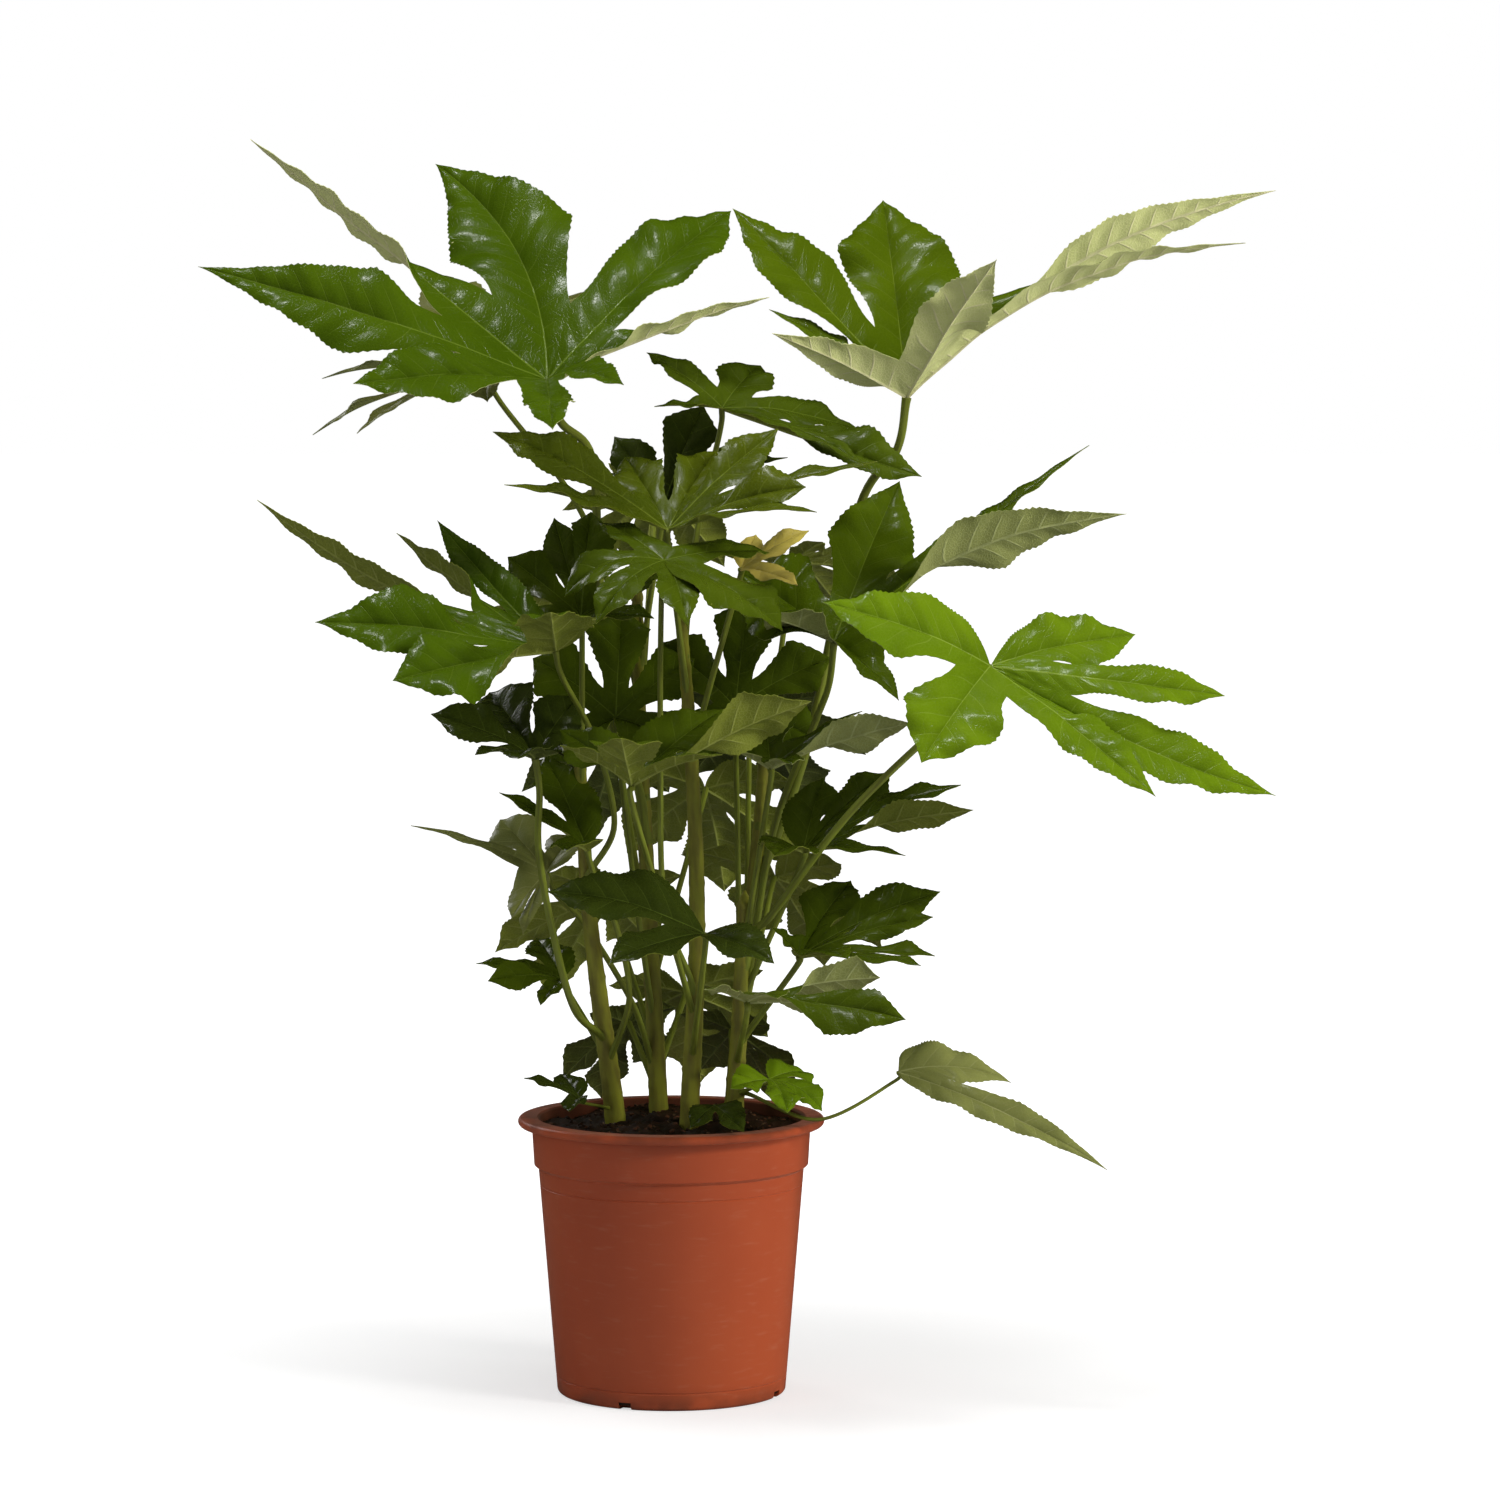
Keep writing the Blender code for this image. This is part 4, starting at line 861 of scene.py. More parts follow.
        (68, -50, 432), (0.0, 0.0, 1.0), ("stem_right", 290),
        lobe(-52, -8, 22, 0.24),
        lobe(14, -64, 8, 0.22),
        lobe(94, -20, 32, 0.16, 0.08, TO_BACK),
        lobe(62, 20, 38, 0.14),
        lobe(-6, 70, 44, 0.26, 0.08, TO_FRONT),
        greens=("middle", "green"),
    ),
    "leaf_right_middle": plan_leaf(
        (90, -28, 374), (0.0, -0.3, 1.0), ("stem_right", 260),
        lobe(-20, -76, 4, 0.28),
        lobe(68, -52, 2, 0.08),
        lobe(114, -38, 32, 0.12, 0.08, TO_BACK),
        lobe(107, -4, 46, 0.18),
        lobe(60, 60, 50, 0.26),
        lobe(14, 50, 46, 0.28, 0.08, TO_FRONT),
        greens=PAINTED_SHADE_MIDDLE,
    ),
    "leaf_right_low": plan_leaf(
        (87, -62, 306), (0.1, -0.3, 1.0), ("stem_right", 235),
        lobe(32, -58, 6, 0.24),
        lobe(80, -58, 0, 0.16),
        lobe(90, -42, 4, 0.18),
        lobe(90, -10, 28, 0.20, 0.10, (0.1, -0.8, 0.8)),
        lobe(96, 26, 42, 0.20, 0.10, (0.1, -0.8, 0.8)),
        lobe(36, 62, 46, 0.26),
        lobe(-18, -4, 20, 0.36),
        greens=PAINTED_SHADE_MIDDLE,
    ),
    "leaf_right_pale": plan_leaf(
        (52, -132, 284), (-0.05, 0.2, 1.0), ("stem_right", 222),
        lobe(-28, -30, 12, 0.30),
        lobe(20, -60, 10, 0.26),
        lobe(104, -28, -8, 0.20, 0.08, TO_FRONT),
        lobe(88, 4, 16, 0.34, 0.08, TO_BACK),
        greens=("middle", "green"),
    ),
    "leaf_far_right": plan_leaf(
        (154, -60, 228), (-0.35, -0.75, 0.8), ("stem_right", 200),
        lobe(138, -50, -59, 0.075, 0.15, None, 1.0),
        lobe(76, 5, -8, 0.25, 0.30, None, 0.5),
        via=[(100, -62, 196)], petiole=0.0028, slot="leaf_young", greens=("olive", "green"),
    ),
    "leaf_low_left_high": plan_leaf(
        (-56, -42, 376), (-0.2, -0.2, 1.0), ("stem_left", 204),
        lobe(-30, 50, 62, 0.24, 0.08, TO_FRONT),
        lobe(-60, 14, 38, 0.15),
        lobe(-12, -62, 6, 0.26),
        via=[(-28, -24, 275), (-38, -42, 330)], greens=PAINTED_SHADE_MIDDLE,
    ),
    "leaf_low_left": plan_leaf(
        (-85, 0, 357), (-0.2, -0.2, 1.0), ("stem_back", 204),
        lobe(22, 70, 20, 0.26),
        lobe(-34, 50, 32, 0.34, 0.08, TO_FRONT),
        lobe(-94, 20, 30, 0.06),
        lobe(-22, -38, -28, 0.24),
        lobe(-14, -48, -38, 0.14),
        via=[(-28, 34, 265), (-60, 22, 320)], greens=("olive", "middle"),
    ),
    "leaf_low_left_small": plan_leaf(
        (-75, 20, 282), (-0.1, -0.2, 1.0), ("stem_left", 225),
        lobe(-20, 52, 22, 0.26),
        lobe(-60, 10, 10, 0.20),
        lobe(-50, -30, 2, 0.24, 0.10, TO_FRONT),
        lobe(-14, -36, -14, 0.20),
        greens=PAINTED_SHADE_MIDDLE,
    ),
    "leaf_front_dark": plan_leaf(
        (24, -112, 327), (-0.1, -0.45, 1.0), ("stem_centre", 222),
        lobe(-104, -12, 30, 0.28, 0.12, (0.0, -0.8, 1.0)),
        lobe(-62, -55, -14, 0.24, 0.12),
        lobe(46, -48, -14, 0.28, 0.12),
        greens=PAINTED_SHADE_ABOVE,
    ),
    "leaf_soil_left": plan_leaf(
        (-62, -30, 206), (-0.1, -0.1, 1.0), ("stem_left", 190),
        lobe(-14, 34, 12, 0.28),
        lobe(-38, 4, 14, 0.24),
        lobe(-6, -34, -4, 0.26),
        petiole=0.0024,
    ),
    "leaf_soil_right": plan_leaf(
        (67, -54, 222), (0.2, -0.5, 1.0), ("stem_right", 205),
        lobe(-26, -32, -2, 0.36, 0.1),
        lobe(12, -44, -16, 0.36, 0.2),
        lobe(36, -8, -20, 0.42, 0.3),
        lobe(26, 34, -2, 0.36, 0.2),
        petiole=0.0026, slot="leaf_young", greens=("bright", "green"),
    ),
    "leaf_soil_front": plan_leaf(
        (30, -66, 206), (0.0, -0.6, 1.0), ("stem_centre", 192),
        lobe(-16, -24, -12, 0.32, 0.1),
        lobe(20, -26, -14, 0.36, 0.1),
        petiole=0.0024, greens=PAINTED_SHADE_ABOVE,
    ),
}
print("leaves in the plan:", len(LEAVES))

# %% The leaves at the back
# For each leaf the stem, the height on it where the petiole starts, the hub and the reach of
# the longest lobe, in millimetres. Then the way the leaf points, in degrees from +X, how
# steeply it hangs down that way, its number of lobes, and its greens above and below.
GROWN = {
    "leaf_back_left": ("stem_back", 400, (-84, 132, 524), 104, 120, 0.4, 7, PAINTED_SHADE_MIDDLE),
    "leaf_back_right": ("stem_back_right", 380, (84, 132, 564), 100, 70, 0.4, 7, PAINTED_SHADE_MIDDLE),
    "leaf_back_high": ("stem_back", 440, (-14, 150, 612), 88, 95, 0.8, 7, SUNNY),
    "leaf_back_right_middle": ("stem_back_right", 280, (56, 130, 460), 92, 70, 0.8, 5, PAINTED_SHADE_DARK),
    "leaf_back_left_middle": ("stem_back", 280, (-40, 128, 432), 92, 110, 0.8, 7, PAINTED_SHADE_DARK),
    "leaf_back_middle": ("stem_back", 262, (22, 140, 404), 94, 85, 1.0, 5, PAINTED_SHADE_MIDDLE),
    "leaf_back_right_low": ("stem_back_right", 225, (72, 104, 344), 88, 60, 1.0, 5, PAINTED_SHADE_MIDDLE),
    "leaf_back_left_low": ("stem_back", 220, (-48, 110, 330), 84, 118, 1.0, 5, PAINTED_SHADE_ABOVE),
    "leaf_back_low": ("stem_back", 206, (8, 112, 262), 82, 88, 1.0, 5, PAINTED_SHADE_MIDDLE),
    "leaf_back_low_left": ("stem_back", 194, (-31, 88, 243), 54, 118, 1.2, 5, PAINTED_SHADE_DARK),
    "leaf_back_low_right": ("stem_back_right", 194, (42, 84, 238), 54, 64, 1.2, 5, PAINTED_SHADE_DARK),
}
# The turns between a leaf's lobes and the longest one, and how long each is beside it.
GROWN_TURNS = {
    5: (-104, -52, 0, 50, 102),
    7: (-128, -88, -44, 0, 42, 86, 126),
}
GROWN_LENGTHS = {
    5: (0.66, 0.90, 1.0, 0.92, 0.68),
    7: (0.45, 0.74, 0.93, 1.0, 0.94, 0.78, 0.45),
}
# The ranges that each lobe's turn, length, rise, width and arch are drawn from.
GROWN_SWING = (-6, 6)
GROWN_STRETCH = (0.92, 1.05)
GROWN_RISE = (-0.15, 0.20)
GROWN_WIDTH = (1.35, 1.6)
GROWN_ARCH = (0.06, 0.16)
GROWN_SEED = 11


def grown_leaf(name):
    """A leaf by the common rule, a little different each time."""
    stem, height, hub, size, points_at, hang, count, greens = GROWN[name]
    draw = random.Random(GROWN_SEED + len(name) * hub[2])
    lobes = []
    for turn, length in zip(GROWN_TURNS[count], GROWN_LENGTHS[count]):
        angle = math.radians(points_at + turn + draw.uniform(*GROWN_SWING))
        reach = size * length * draw.uniform(*GROWN_STRETCH)
        rise = reach * (draw.uniform(*GROWN_RISE) - hang * math.cos(math.radians(turn)))
        across = (reach * math.cos(angle), reach * math.sin(angle))
        width = draw.uniform(*GROWN_WIDTH) / count
        lobes.append(lobe(*across, rise, width, draw.uniform(*GROWN_ARCH)))
    lean = math.radians(points_at)
    facing = (hang * math.cos(lean), hang * math.sin(lean), 1.0)
    return plan_leaf(hub, facing, (stem, height), *lobes, greens=greens)


print("leaves at the back:", len(GROWN))

# %% [markdown]
# ## One lobe's line and edge
#
# A lobe is built on its midrib, a gently arched curve from the hub to the tip. At every point
# of it the blade reaches out to both sides. It is widest past the middle, drawn out to a
# point, folded up a little along the rib and waved at its edge. Near the hub two lobes share
# the blade between their ribs. This is the same rule that shaped the solids.

# %% Midrib and edge
WAVE = 0.10
FOLD = 0.14
FACED = 0.55
ROOM_USED = 0.9
TAPER = 1.25
BESIDE_GAP_SWELL = 0.6


def outward(direction, tangent):
    """The part of a direction that is square to the tangent."""
    across = direction - direction.dot(tangent) * tangent
    return across.normalized()


def midrib(spec, facing, u):
    """The place on a lobe's midrib at part u of its length, and its tangent there."""
    tip = spec["tip"]
    normal = outward(facing, tip.normalized())
    left = normal.cross(tip.normalized())
    control = tip * 0.5 + (normal * spec["arch"] + left * spec["sweep"]) * tip.length
    place = 2 * u * (1 - u) * control + u * u * tip
    tangent = (2 * (1 - u) * control + 2 * u * (tip - control)).normalized()
    return place, tangent


def half_width(spec, u, beside_gap):
    swell = spec["swell"] * (BESIDE_GAP_SWELL if beside_gap else 1.0)
    widest = swell / (swell + TAPER)
    peak = widest**swell * (1 - widest) ** TAPER
    return spec["width"] * spec["tip"].length * u**swell * (1 - u) ** TAPER / peak


def edge_offset(spec, facing, u, side, room, wave):
    """From the midrib to the free edge at part u. The room is half the way to the next midrib,
    or None beside the petiole's gap."""
    _, tangent = midrib(spec, facing, u)
    looks = facing.lerp(spec["face"] or facing, smoothstep(u / FACED))
    normal = outward(looks, tangent)
    left = normal.cross(tangent)
    wide = half_width(spec, u, room is None)
    if room is not None:
        wide = min(wide, ROOM_USED * room)
    return left * side * wide + normal * wide * (FOLD + wave)


def plain_wave(stations, u):
    """The edge's slow wave: down at every even station of the plain blade, up at the odd."""
    passed = float(np.interp(u, stations, range(len(stations))))
    return -WAVE * math.cos(math.pi * passed)


example = midrib(lobe(0, 200, 0), Vector((0, 0, 1)), 0.5)[0]
print("a flat lobe of 200 mm rises in its middle by", round(example.z / MM, 1), "mm")

# %% [markdown]
# ## A blade with teeth, side veins and a thickness
#
# Seen close, the blade between two side veins swells up a little, the edge has small teeth
# that point to the tip, and the midrib is a keel on the lower side. Displacement by a texture
# would need a very dense mesh everywhere. Here the mesh has a station about every two
# millimetres along a lobe, and columns that crowd at the midrib and at the edge, so its own
# points can carry all of that.

# %% Stations and columns
JOINED = 0.33
STATIONS_LARGE = (0.0, 0.17, JOINED, 0.46, 0.60, 0.74, 0.88, 1.0)
STATIONS_MIDDLE = (0.0, JOINED, 0.52, 0.70, 0.87, 1.0)
STATIONS_SMALL = (0.0, JOINED, 0.58, 0.82, 1.0)
LARGE_LEAF_REACH = 0.20
MIDDLE_LEAF_REACH = 0.125
STATION_STEP = 0.0021
FEWEST_STATIONS = 12
COLUMNS = (0.0, 0.22, 0.45, 0.67, 0.86, 1.0)


def lobe_stations(spec, longest):
    """The parts of the length where a lobe has points. All lobes of a leaf share those of the
    joined part, so that their common edge fits."""
    inner = max(FEWEST_STATIONS // 2, round(JOINED * longest / STATION_STEP))
    outer = max(FEWEST_STATIONS, round((1 - JOINED) * spec["tip"].length / STATION_STEP))
    near = [JOINED * k / inner for k in range(inner + 1)]
    return near + [JOINED + (1 - JOINED) * k / outer for k in range(1, outer + 1)], inner


def rib_half_width(spec, u):
    return (0.0005 + 0.0042 * spec["tip"].length) * (1 - 0.72 * u)


print("a lobe of 20 cm has", len(lobe_stations(lobe(0, 200, 0), 0.2)[0]), "stations")

# %% The open surface of a blade
NOTCH = 0.22
NOTCH_BESIDE_GAP = (0.02, 0.16)
FEWEST_SIDE_VEINS = 4
SIDE_VEIN_STEP = 0.016
SIDE_VEIN_SLANT = 0.8
TOOTH_STATIONS = 2
TOOTH_HEIGHT = 0.0012
TOOTH_SHARE = 0.08
TOOTH_STRENGTH = (0.55, 1.35)
TOOTHLESS_FROM = 0.93
RIB_SHARE = 0.35
BULGE = 0.10
FREE_CROWN = 3.4
PILLOW = 0.0005
PILLOW_WIDTH = 0.02
RUFFLE = 0.0016
RUFFLE_WIDTH = 0.012
THICK_AT_RIB = 0.0009
THICK_AT_EDGE = 0.0004
KEEL = 0.0011
TINY = 1e-6


class Blade:
    """The blade's points, how far each is lifted off the plain form, its thickness and keel,
    and its faces with their two maps."""

    def __init__(self):
        self.points = []
        self.lift = []
        self.thick = []
        self.keel = []
        self.faces = []
        self.blade_map = []
        self.vein_map = []

    def add(self, point, lift=0.0, thick=THICK_AT_RIB, keel=0.0):
        self.points.append(point)
        self.lift.append(lift)
        self.thick.append(thick)
        self.keel.append(keel)
        return len(self.points) - 1


def free_part(u, beside_gap):
    """0 where the edge is still joined to the next lobe, 1 where it is free."""
    start, span = NOTCH_BESIDE_GAP if beside_gap else (JOINED, NOTCH)
    return smoothstep((u - start) / span)


def edge_points(lobes, facing, number, side, us, joined, stations, draw):
    """For each station the edge from the midrib there, how free it is, and its tooth."""
    spec = lobes[number]
    other = number + side
    neighbour = lobes[other] if 0 <= other < len(lobes) else None
    shared = None
    rows = []
    strength = 1.0
    for k, u in enumerate(us):
        here = midrib(spec, facing, u)[0]
        free = 0.0 if neighbour and k <= joined else free_part(u, neighbour is None)
        room = None
        if neighbour:
            there = midrib(neighbour, facing, u)[0]
            room = (there - here).length / 2
            if k <= joined:
                shared = (there - here) / 2
                rows.append((shared, free, 0.0))
                continue
        offset = edge_offset(spec, facing, u, side, room, plain_wave(stations, u))
        if neighbour:
            offset = shared.lerp(offset, smoothstep((u - JOINED) / NOTCH))
        if k % TOOTH_STATIONS == 0:
            strength = draw.uniform(*TOOTH_STRENGTH)
        place = (k % TOOTH_STATIONS) / (TOOTH_STATIONS - 1) - 0.5
        height = min(TOOTH_HEIGHT, TOOTH_SHARE * offset.length)
        fade = free * (1 - smoothstep((u - TOOTHLESS_FROM) / (1 - TOOTHLESS_FROM)))
        rows.append((offset, free, place * height * strength * fade))
    return rows


def add_half_lobe(blade, spec, facing, us, side, rib, rows, shared, seed):
    """Points between the midrib and one edge, and the faces that join them."""
    length = spec["tip"].length
    count = max(FEWEST_SIDE_VEINS, round(length / SIDE_VEIN_STEP))
    grid, spots = [], []
    for k, u in enumerate(us):
        offset, free, tooth = rows[k]
        wide = offset.length
        here = midrib(spec, facing, u)[0]
        rib_width = rib_half_width(spec, u)
        first = min(RIB_SHARE, rib_width / max(wide, TINY))
        row, spot = [], []
        for j, s in enumerate((0.0, *(first + (1 - first) * part for part in COLUMNS))):
            away = s * wide
            phase = count * (u - SIDE_VEIN_SLANT * away / length) + (0.5 if side < 0 else 0.0)
            spot.append(((u, s), (phase, away / rib_width)))
            if k == 0 or j == 0 or k == len(us) - 1:
                row.append(rib[k])
                continue
            if j == len(COLUMNS) and k in shared:
                row.append(shared[k])
                continue
            reach = (away + (tooth if j == len(COLUMNS) else 0.0)) / max(wide, TINY)
            point = here + offset * reach
            crown = (1 - free) * math.sin(math.pi / 2 * s) + free * FREE_CROWN * s * (1 - s)
            pillow = (1 - math.cos(math.tau * phase)) * 2 * s * (1 - s)
            pillow *= min(1.0, wide / PILLOW_WIDTH)
            ruffle = free * s * s * math.sin(math.pi * phase + seed)
            ruffle *= min(1.0, wide / RUFFLE_WIDTH)
            lift = BULGE * wide * crown + PILLOW * pillow + RUFFLE * ruffle
            thick = THICK_AT_RIB + (THICK_AT_EDGE - THICK_AT_RIB) * s
            row.append(blade.add(point, lift, thick))
            if j == len(COLUMNS) and not free:
                shared[k] = row[-1]
        grid.append(row)
        spots.append(spot)
    for k in range(len(us) - 1):
        for j in range(len(COLUMNS)):
            ring = [(k, j), (k, j + 1), (k + 1, j + 1), (k + 1, j)]
            if side > 0:
                ring.reverse()
            face = []
            for a, b in ring:
                if grid[a][b] not in face:
                    face.append(grid[a][b])
                    blade.blade_map.append(spots[a][b][0])
                    blade.vein_map.append(spots[a][b][1])
            blade.faces.append(tuple(face))


def open_blade(leaf, draw):
    """The whole leaf's upper form as an open surface, with its hub at the origin."""
    lobes = leaf["lobes"]
    facing = Vector(leaf["facing"]).normalized()
    longest = max(spec["tip"].length for spec in lobes)
    stations = STATIONS_SMALL
    if longest > MIDDLE_LEAF_REACH:
        stations = STATIONS_MIDDLE
    if longest > LARGE_LEAF_REACH:
        stations = STATIONS_LARGE
    blade = Blade()
    hub = blade.add(Vector((0, 0, 0)), keel=KEEL)
    between = [{} for _ in range(len(lobes) + 1)]
    for number, spec in enumerate(lobes):
        us, joined = lobe_stations(spec, longest)
        rib = [hub]
        for u in us[1:]:
            keel = KEEL * (1 - u) ** 0.7 * min(1.0, 0.4 + 4 * spec["tip"].length)
            thick = THICK_AT_RIB * (1 - 0.4 * u)
            rib.append(blade.add(midrib(spec, facing, u)[0], 0.0, thick, keel))
        seed = draw.uniform(0, math.tau)
        for side in (-1, 1):
            rows = edge_points(lobes, facing, number, side, us, joined, stations, draw)
            shared = between[number + (side > 0)]
            add_half_lobe(blade, spec, facing, us, side, rib, rows, shared, seed)
    return blade


trial = open_blade(plan_leaf((0, 0, 0), (0, 0, 1), None, lobe(0, 90, 0)), random.Random(0))
print("an open lobe of 90 mm has", len(trial.points), "points")

# %% From an open surface to a blade with two sides
WOBBLE = 0.0020
WOBBLE_SIZE = 0.045
WOBBLE_STARTS = 0.05


def point_normals(points, faces):
    mesh = bpy.data.meshes.new("normals")
    mesh.from_pydata([tuple(point) for point in points], [], faces)
    normals = np.empty(len(points) * 3, np.float32)
    mesh.vertex_normals.foreach_get("vector", normals)
    bpy.data.meshes.remove(mesh)
    return normals.reshape(-1, 3).astype(float)


def open_edges(faces):
    """The directed edges that only one face has."""
    edges = set()
    for face in faces:
        edges.update(zip(face, face[1:] + face[:1]))
    return [edge for edge in edges if (edge[1], edge[0]) not in edges]


def close_blade(blade, seed):
    """Lifts the surface, gives it a lower side with a keel, and joins the two round the edge."""
    points = np.array([tuple(point) for point in blade.points])
    lift = np.array(blade.lift)
    for k, point in enumerate(blade.points):
        near = min(1.0, point.length / WOBBLE_STARTS)
        lift[k] += WOBBLE * near * noise.noise(point / WOBBLE_SIZE + Vector((seed, 0, seed)))
    points = points + point_normals(points, blade.faces) * lift[:, None]
    normals = point_normals(points, blade.faces)
    half = np.array(blade.thick)[:, None] / 2
    keel = np.array(blade.keel)[:, None]
    both = np.concatenate([points + normals * half, points - normals * (half + keel)])
    count = len(points)
    faces = list(blade.faces)
    numbers = [0] * len(faces)
    under = [tuple(count + corner for corner in reversed(face)) for face in blade.faces]
    numbers += [1] * len(under)
    blade_map, vein_map = list(blade.blade_map), list(blade.vein_map)
    spots = {}
    start = 0
    for face in blade.faces:
        end = start + len(face)
        blade_map += blade.blade_map[start:end][::-1]
        vein_map += blade.vein_map[start:end][::-1]
        spots.update(zip(face, range(start, end)))
        start = end
    rim = []
    for a, b in sorted(open_edges(blade.faces)):
        rim.append((b, a, count + a, count + b))
        for corner in (b, a, a, b):
            blade_map.append(blade.blade_map[spots[corner]])
            vein_map.append(blade.vein_map[spots[corner]])
    numbers += [1] * len(rim)
    return both, faces + under + rim, blade_map, vein_map, numbers


print("with two sides it has", 2 * len(trial.points))

# %% [markdown]
# ## The petiole
#
# The petiole leaves its stem along the stem's own line, clasps it with a swollen foot, swings
# out through free air and comes up to the hub from below. It is round and smooth, so it is
# lofted along its line like a stem, only slimmer.

# %% Petioles
PETIOLE_NECK = 0.80
PETIOLE_RINGS = 54
PETIOLE_SIDES = 12
PETIOLE_GROOVE = 0.05
PETIOLE_LEAVES = 0.12
PETIOLE_ARRIVES = 0.10
FOOT_SWELL = 0.6
FOOT_LENGTH = 0.009
FOOT_IN_STEM = 0.006
HEAD_SWELL = 0.25
HEAD_LENGTH = 0.006


def petiole_line(leaf):
    stem, height = leaf["stem"]
    start, along = point_on_stem(stem, height)
    hub = Vector(leaf["hub"]) * MM
    facing = Vector(leaf["facing"]).normalized()
    via = [Vector(point) * MM for point in leaf["via"]]
    span = (hub - start).length
    leave = start + (along + (hub - start).normalized()) / 2 * span * PETIOLE_LEAVES
    before = via[-1] if via else leave
    arrive = hub - (facing + (hub - before).normalized()) / 2 * span * PETIOLE_ARRIVES
    return smooth_points([start, leave, *via, arrive, hub], PETIOLE_RINGS)


def grow_petiole(leaf):
    line = petiole_line(leaf)
    thick = leaf["petiole"] / 2
    total = sum((b - a).length for a, b in zip(line, line[1:]))

    def radius_at(ring, length, turn):
        part = ring / PETIOLE_RINGS
        foot = FOOT_SWELL * math.exp(-max(0.0, length - FOOT_IN_STEM) / FOOT_LENGTH)
        head = HEAD_SWELL * math.exp(-(total - length) / HEAD_LENGTH)
        groove = 1 - PETIOLE_GROOVE * max(0.0, math.cos(turn)) ** 4
        return thick * (1 - (1 - PETIOLE_NECK) * part) * (1 + foot + head) * groove

    return loft(line, radius_at, PETIOLE_SIDES)


print("a petiole has", PETIOLE_RINGS + 1, "rings")

# %% Grow the leaves
LEAF_SEED = 29
SEED_RANGE = 50


def grow_leaf(number, name, leaf):
    draw = random.Random(LEAF_SEED * number + 1)
    blade = open_blade(leaf, draw)
    seed = draw.uniform(0, SEED_RANGE)
    points, faces, blade_map, vein_map, numbers = close_blade(blade, seed)
    points = points + np.array(leaf["hub"]) * MM
    stalk_points, stalk_faces, stalk_map = grow_petiole(leaf)
    first = len(points)
    points = np.concatenate([points, np.array([tuple(point) for point in stalk_points])])
    faces += [tuple(first + corner for corner in face) for face in stalk_faces]
    numbers += [2] * len(stalk_faces)
    maps = {"blade": blade_map + stalk_map, "veins": vein_map + [(0.5, 2.0)] * len(stalk_map)}
    upper, lower = leaf["greens"]
    finishes = [UPPER[upper], LOWER[lower], PETIOLE]
    piece = add_piece(f"grown_{name}", points, faces, maps, finishes, numbers)
    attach(piece, "root")
    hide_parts(name)
    return len(faces)


plan = {**LEAVES, **{name: grown_leaf(name) for name in GROWN}}
face_count = sum(grow_leaf(number, *item) for number, item in enumerate(plan.items()))
print("leaves grown:", len(plan), "with", face_count, "faces")

# %% [markdown]
# ## The pot
#
# The pot is moulded in one piece from terracotta-coloured plastic: a rolled lip to lift it
# by, a straight collar so that empty pots nest without jamming, a tapered body and drain
# notches at the foot. Turning a profile is the natural way to make it, as the mould was turned.
# The plain solid has 36 sides. The dressed one has 192, a finer lip and the small ledges that
# the mould leaves.

# %% The pot's profile
POT_HEIGHT = 0.190
RIM_RADIUS = 0.105
RIM_LIP = 0.006
RIM_STEP = 0.001
COLLAR_RADIUS = 0.0955
COLLAR_FOOT_RADIUS = 0.0940
COLLAR_DEPTH = 0.033
BODY_TOP_RADIUS = 0.0910
BASE_RADIUS = 0.0785
COLLAR_UNDERCUT = 0.002
BASE_ROUND = 0.003
POT_WALL = 0.0016
POT_FLOOR = 0.0025
SHOULDER = POT_HEIGHT - COLLAR_DEPTH
LEDGE_HEIGHTS = (0.1435, 0.0115)
LEDGE_DEPTH = 0.00045
LEDGE_SHAPE = ((0.0012, 0.0), (0.0006, 1.0), (0.0001, 0.8), (-0.0003, 0.0))
MOUTH_EDGE = 0.0012
LIP_FILLET = (0.0009, 0.0002)
COLLAR_ROUND = 0.0008
BASE_RING = (0.012, 0.014)
BASE_HOLLOW = 0.0008
POT_TURNS = 192


def arc(centre, radius, start, end, steps):
    """Points (radius, height) on an arc, with its angles in degrees."""
    angles = [math.radians(start + (end - start) * step / steps) for step in range(steps + 1)]
    return [
        (centre[0] + radius * math.cos(angle), centre[1] + radius * math.sin(angle))
        for angle in angles
    ]


def body_radius(height):
    """The outside of the tapered body at this height."""
    low, high = BASE_ROUND, SHOULDER - COLLAR_UNDERCUT
    return BASE_RADIUS + (BODY_TOP_RADIUS - BASE_RADIUS) * (height - low) / (high - low)


def pot_inner_radius(height):
    if height > SHOULDER:
        return BODY_TOP_RADIUS - POT_WALL
    return BASE_RADIUS + (BODY_TOP_RADIUS - BASE_RADIUS) / SHOULDER * height - POT_WALL


